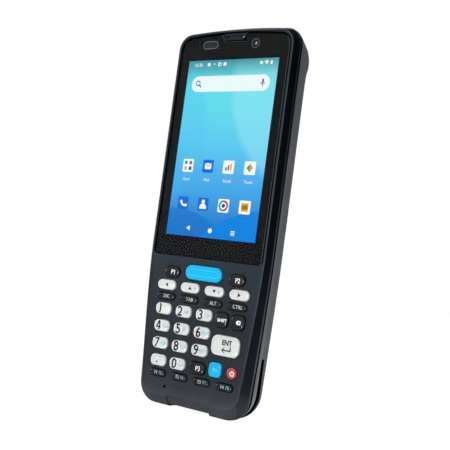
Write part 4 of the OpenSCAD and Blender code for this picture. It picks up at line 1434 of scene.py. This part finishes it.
def tiles():
    """Two rows of tiles with plain glyphs, and a word under each tile of the upper row."""
    square = round_rect(6.3, 6.4, 0.5, 3)
    rows = (("white", "blue", "white", "white"), ("blue", "blue", "white", "white"))
    shapes = [(square, x, z, 1, light) for z, row in zip(TILE_Z, rows) for x, light in zip(TILE_X, row)]
    # glyphs: [column, row, what to draw, shift to the right, shift up, layer, light]
    four = [(0, 0, round_rect(1.7, 1.7, 0.4, 3), dx, dz, 2, light)
            for dx, dz, light in ((-1.4, 1.4, "teal"), (1.4, 1.4, "red"),
                                  (-1.4, -1.4, "amber"), (1.4, -1.4, "navy"))]
    letter = [(1, 0, round_rect(3.8, 2.9, 0.5, 3), 0, 0, 2, "white"),
              (1, 0, stroke([(-1.5, 1.0), (0, -0.2), (1.5, 1.0)], 0.35), 0, 0.1, 3, "blue")]
    columns = [(2, 0, round_rect(0.9, tall, 0.2, 3), dx, tall / 2 - 1.7, 2, light)
               for dx, tall, light in ((-1.4, 1.6, "navy"), (0, 2.6, "red"), (1.4, 3.4, "amber"))]
    diamond = [(3, 0, [(-1.9, 0), (0, -2.1), (0, 2.1)], 0, 0, 2, "teal"),
               (3, 0, [(1.9, 0), (0, 2.1), (0, -2.1)], 0, 0, 2, "amber")]
    handset = [(0, 1, stroke(arc(2.0, 195, 300, x=0.9, z=1.2), 1.0), 0, -0.3, 2, "white"),
               (0, 1, disc(0.75), -1.2, 0.7, 2, "white"), (0, 1, disc(0.75), 1.7, -1.0, 2, "white")]
    person = [(1, 1, disc(1.0, count=20), 0, 1.3, 2, "white"),
              (1, 1, arc(2.0, 0, 180) + [(-2.0, -0.6), (2.0, -0.6)], 0, -1.6, 2, "white")]
    target = [(2, 1, stroke(arc(2.2, 90, 270), 1.0), 0, 0, 2, "teal"),
              (2, 1, stroke(arc(2.2, -90, 90), 1.0), 0, 0, 2, "red"),
              (2, 1, disc(1.0, count=20), 0, 0, 2, "navy")]
    label = [(3, 1, round_rect(4.0, 4.0, 0.3, 3), 0, 0, 2, "amber")]
    label += [(3, 1, round_rect(0.35 + 0.15 * (k % 2), 2.2, 0.1, 2), 0.75 * k - 1.1, 0, 3, "brown")
              for k in range(4)]
    glyphs = four + letter + columns + diamond + handset + person + target + label
    for column, row, what, dx, dz, layer, light in glyphs:
        shapes.append((what, TILE_X[column] + dx, TILE_Z[row] + dz, layer, light))
    for x, text in zip(TILE_X, ("Scan", "Mail", "Stock", "Tools")):
        shapes.append(((text, 1.55), x, -15.6, 1, "white"))
    return shapes


def soft_keys():
    """Triangle, disc and three bars at the foot of the picture."""
    bars = [(round_rect(2.3, 0.42, 0.15, 2), 13.1, -40.2 + dz, 1, "white") for dz in (-0.8, 0, 0.8)]
    return [(triangle(2.4, 2.2, 180), -13.2, -39.6, 1, "white"),
            (disc(1.15, count=24), 0, -40.0, 1, "white")] + bars


def display():
    """The display module with its lit picture."""
    w, h, _ = SCREEN
    lights = {name: light_of(name + "_light", colour) for name, colour in LIGHTS.items()}
    corners = [(w / 2, -h / 2), (w / 2, h / 2), (-w / 2, h / 2), (-w / 2, -h / 2)]
    parts = [lit(corners, 0, 0, 0, wallpaper_light())]
    for what, x, z, layer, light in status_line() + search_field() + tiles() + soft_keys():
        if isinstance(what[0], str):
            parts.append(words(*what, x, z, layer, lights[light]))
        else:
            parts.append(lit(what, x, z, layer, lights[light]))
    fit(joined(parts, "display_picture"), "housing", "display")
    low, high = LCD_LOW / MM, LCD_HIGH / MM
    body = box_tool(low.x, high.x, low.y - GLASS_Y, high.y - GLASS_Y, low.z, high.z)
    body.name = "display_module_body"
    dress(smooth(soften(body, 0.25), 50), INNER)
    fit(body, "housing", "display", "lcd_module")


def receiver():
    """Moulded frame in the slot of the tongue, the woven mesh in it, and the charging light."""
    middle = (SLOT[0][1] + SLOT[2][1]) / 2
    outer = grown(SLOT, -0.02)
    inner = grown(SLOT, -0.55)
    piece = loft("receiver_frame", [
        ring_at(outer, SLOT_D), ring_at(outer, 0.28), ring_at(grown(outer, -0.08), 0.2),
        ring_at(grown(inner, 0.08), 0.2), ring_at(inner, 0.28), ring_at(inner, SLOT_D - 0.12)])
    clean(piece)
    dress(piece, FRONT, SEAL_AND_SHADE)
    # the frame's inner faces wear the black, as painted shade in the slot
    faces_where(piece, lambda x, d, z, n: d > 0.29, 1)
    smooth(piece)
    fit(piece, "housing", "black_trim", "receiver_grille")
    # mesh of the grille: crossed wires, drawn coarser than the real cloth so that they show
    wires = [shape(round_rect(0.2, 1.5, 0.05, 2), -4.2 + 0.4 * k, middle) for k in range(22)]
    wires += [shape(round_rect(8.8, 0.2, 0.05, 2), 0, middle - 0.6 + 0.4 * k) for k in range(4)]
    mesh = joined(wires, "receiver_mesh")
    dress(shifted(mesh, d=SLOT_D - 0.2), CLOTH)
    fit(mesh, "housing", "black_trim")
    lamp = shape(disc(0.28, count=16), 4.8, middle - 0.1)
    lamp.name = "charging_light"
    dress(shifted(lamp, d=0.2), DULL_INK)
    fit(lamp, "housing", "black_trim")


def front_camera():
    """Barrel of the front camera with its domed lens, and the printed ring round it."""
    x, z = CAMERA_AT
    steps = [(2.6, 4.2), (2.6, 1.25), (2.3, 1.12), (1.15, 1.12), (1.1, 0.9)]
    barrel = turned("front_camera_barrel", x, z, steps)
    dress(smooth(barrel), INNER)
    fit(barrel, "housing", "inner_black", "front_camera")
    lens = turned("front_camera_lens", x, z, [(1.08, 0.95)] + dome(1.05, 0.02, 0.75, -0.35))
    dress(smooth(lens, 60), COATED_LENS)
    fit(lens, "housing", "lens_black")
    ring = shape(stroke(arc(2.15, 0, 359, steps=40), 0.28), x, z)
    ring.name = "front_camera_ring"
    dress(shifted(ring, d=PICTURE_D - 0.04), GREY_INK)
    fit(ring, "housing", "cover_glass")


def sensor_window():
    """Dark window of the light sensor, with the fine line printed round it."""
    w, h = SENSOR_SIZE

    def pane(less, turn):
        return moved(round_rect(w - less, h - less, h / 2 - turn, 8), *SENSOR_AT)

    piece = loft("light_sensor_window", [
        ring_at(pane(0, 0.02), 2.4), ring_at(pane(0, 0.02), 1.25), ring_at(pane(0.3, 0.2), 1.12)])
    dress(smooth(piece), LENS)
    fit(piece, "housing", "lens_black", "sensor_window")
    loop = pane(0.6, 0.32)
    line = shape(stroke(loop + loop[:1], 0.34))
    pool = shape(pane(1.2, 0.62))
    for made, name, ink_used, d in ((line, "light_sensor_line", GREY_INK, 0.04),
                                    (pool, "light_sensor_pane", SMOKE_INK, 0.02)):
        made.name = name
        dress(shifted(made, d=PICTURE_D - d), ink_used)
        fit(made, "housing", "cover_glass")


# ---------------------------------------------------------------- back, battery and small parts


def scan_window():
    """Red pane in the slope of the head, with a softened edge."""
    w, h = WINDOW
    rings = [[on_slope(x, u, -1.3) for x, u in round_rect(w, h, 1.1)],
             [on_slope(x, u, -0.35) for x, u in round_rect(w, h, 1.1)],
             [on_slope(x, u, -0.2) for x, u in round_rect(w - 0.4, h - 0.4, 0.95)]]
    piece = smooth(loft("scan_window_pane", rings))
    dress(piece, RED_WINDOW)
    return fit(piece, "housing", "red_window", "scan_window")


def rear_camera_plate():
    """Black plate over the rear camera and its lamp, with a metal ring, a lens and a diffuser."""
    w, h, r, z = PLATE
    back = BACK_D
    rings = [ring_at(moved(round_rect(w - less, h - less, r - less / 2), 0, z), back - before)
             for less, before in ((0, 0.8), (0, 0.3), (0.4, 0.1))]
    plate = loft("rear_camera_plate", rings)
    cut(plate, prism("eye", disc(2.6, LENS_X, z), back - 0.45, FAR_D))
    cut(plate, prism("lamp", disc(1.7, FLASH_X, z), back - 0.45, FAR_D))
    dress(smooth(clean(plate)), LENS)
    fit(plate, "housing", "lens_black", "camera_window")
    steps = [(2.55, back - 0.45), (2.55, back - 0.12), (2.1, back - 0.12), (1.7, back - 0.42)]
    ring = turned("rear_camera_ring", LENS_X, z, steps)
    fit(dress(smooth(ring), STEEL), "housing", "steel")
    lens = turned("rear_camera_lens", LENS_X, z, [(1.68, back - 0.44)] + dome(1.6, 0.04, back - 0.4, 0.25))
    fit(dress(smooth(lens, 60), COATED_LENS), "housing", "lens_black")
    steps = [(1.65, back - 0.45), (1.65, back - 0.2), (1.45, back - 0.12)]
    diffuser = turned("camera_lamp_diffuser", FLASH_X, z, steps)
    fit(dress(smooth(diffuser), DIFFUSER), "housing", "lens_black")


def screws():
    """Six pan-head screws with a cross recess, sunk in the rear housing."""
    head_top = SEAT_D + 1.4
    made = []
    for x, z in screw_places():
        shank_end = 2.7 if z < LOW_Z else 3.6
        screw = turned("screw", x, z, [
            (1, shank_end), (1, SEAT_D + 0.02), (HEAD_R, SEAT_D + 0.02), (HEAD_R, head_top - 0.45),
            (HEAD_R * 0.85, head_top - 0.12), (HEAD_R * 0.5, head_top)])
        for w, h in ((1.7, 0.42), (0.42, 1.7)):
            cut(screw, prism("recess", moved(round_rect(w, h, 0.05, 2), x, z), head_top - 0.7, head_top + 1))
        made.append(screw)
    piece = dress(smooth(joined(made, "housing_screws_steel")), STEEL)
    return fit(piece, "housing", "steel", "housing_screws")


def battery():
    """The wrapped battery with its rounded film edges."""
    low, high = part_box("battery")
    low, high = low / MM, high / MM
    piece = box_tool(low.x, high.x, low.y - GLASS_Y, high.y - GLASS_Y, low.z, high.z)
    piece.name = "battery_pack"
    soften(piece, 0.9, 4, 60)
    dress(piece, WRAP)
    smooth(piece, 50)
    fit(piece, "housing", "battery_pack", "battery")


def inner_parts():
    """Materials of the CAD nodes that keep their own shape."""
    wear = {"mid_frame": ALLOY, "earpiece": INNER, "microphone": GOLD, "keypad_mat": SILICONE,
            "dome_sheet": STEEL, "keypad_board": BOARD, "main_board": BOARD, "card_holder": STEEL,
            "scan_engine": INNER, "rear_camera": INNER, "loudspeaker": INNER, "vibration_motor": STEEL,
            "battery_contacts": GOLD, "usb_socket": STEEL, "connector_board": BOARD}
    for name, material in wear.items():
        dress(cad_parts[name], material)


# ---------------------------------------------------------------- camera, light, floor

# Lamps: [name, place, what it looks at, width, height, power]. The strip only makes highlights, and
# the front lamps are only seen as light, so they lay no veil over the cover glass.
LAMPS = [("upper_front_lamp", (-0.45, -0.75, 0.9), (0, 0, 0.093), 0.35, 0.35, 8.5),
         ("low_front_lamp", (0.1, -0.75, 0.03), (0, 0, 0.03), 0.3, 0.1, 2.0),
         ("low_right_lamp", (0.24, 0.03, 0.03), (0.034, 0, 0.02), 0.12, 0.06, 0.2),
         ("back_lamp", (-0.35, 0.85, 0.55), (0, 0, 0.093), 0.4, 0.4, 5.0),
         ("left_highlight_strip", (-0.9, -0.42, 0.05), (0, 0, 0.05), 0.2, 0.3, 7.0)]


def any_ray(tree, *kinds):
    """1 for a ray of any of these kinds, and 0 for all others."""
    path = node(tree, "ShaderNodeLightPath")
    found = path.outputs[kinds[0]]
    for kind in kinds[1:]:
        more = node(tree, "ShaderNodeMath", {0: found, 1: path.outputs[kind]}, operation="MAXIMUM")
        found = more.outputs[0]
    return found


def camera():
    """Looks at the front and the right side, from a little below the middle."""
    scene = bpy.context.scene
    scene.view_settings.view_transform = "Standard"
    made = bpy.data.objects.new("camera", bpy.data.cameras.new("camera"))
    scene.collection.objects.link(made)
    made.data.sensor_width = 36
    made.data.lens = 65.862
    made.data.clip_start = 0.01
    made.location = Vector((228.501, -327.387, 67.485)) * MM
    made.rotation_euler = [math.radians(a) for a in (93.2709, -7.6145, 34.2052)]
    scene.camera = made


def white_room():
    """A world that is white to the eye, and lights the object at half that level."""
    world = bpy.data.worlds.new("white_room")
    bpy.context.scene.world = world
    world.use_nodes = True
    tree = world.node_tree
    seen = any_ray(tree, "Is Camera Ray", "Is Glossy Ray", "Is Transmission Ray")
    level = node(tree, "ShaderNodeMapRange", {"Value": seen, "To Min": 0.5, "To Max": 1.0})
    tree.links.new(level.outputs["Result"], tree.nodes["Background"].inputs["Strength"])
    tree.nodes["Background"].inputs["Color"].default_value = (1, 1, 1, 1)


def lamps():
    """Soft area lamps and the strip for the highlights."""
    for name, place, goal, width, height, power in LAMPS:
        data = bpy.data.lights.new(name, "AREA")
        data.shape = "RECTANGLE"
        data.size = width
        data.size_y = height
        data.energy = power
        lamp = bpy.data.objects.new(name, data)
        lamp.location = place
        lamp.rotation_euler = (Vector(goal) - Vector(place)).to_track_quat("-Z", "Y").to_euler()
        lamp.visible_diffuse = not name.endswith("strip")
        lamp.visible_glossy = not name.endswith("front_lamp")
        bpy.context.scene.collection.objects.link(lamp)


def pale_floor():
    """A floor that looks white, and keeps a faint shadow of the object."""
    nothing_selected()
    bpy.ops.mesh.primitive_plane_add(size=8, location=(0, 0, 0))
    floor = bpy.context.object
    floor.name = "floor"
    material = bpy.data.materials.new("pale_floor")
    material.use_nodes = True
    tree = material.node_tree
    tree.nodes.remove(tree.nodes["Principled BSDF"])
    matt = node(tree, "ShaderNodeBsdfDiffuse", {"Color": paint("#f4f4f4")})
    glow = node(tree, "ShaderNodeEmission", {"Strength": 1.12})
    share = node(tree, "ShaderNodeMath", {
        0: any_ray(tree, "Is Camera Ray", "Is Glossy Ray"), 1: 0.85}, operation="MULTIPLY")
    both = node(tree, "ShaderNodeMixShader", {
        0: share.outputs[0], 1: matt.outputs["BSDF"], 2: glow.outputs["Emission"]})
    tree.links.new(both.outputs["Shader"], tree.nodes["Material Output"].inputs["Surface"])
    dress(floor, material)


camera()
white_room()
lamps()
pale_floor()
front_housing()
rear_housing()
battery_door()
housing_gasket()
cover_glass()
glass_border()
display()
receiver()
front_camera()
sensor_window()
keys()
scan_window()
rear_camera_plate()
screws()
battery()
inner_parts()
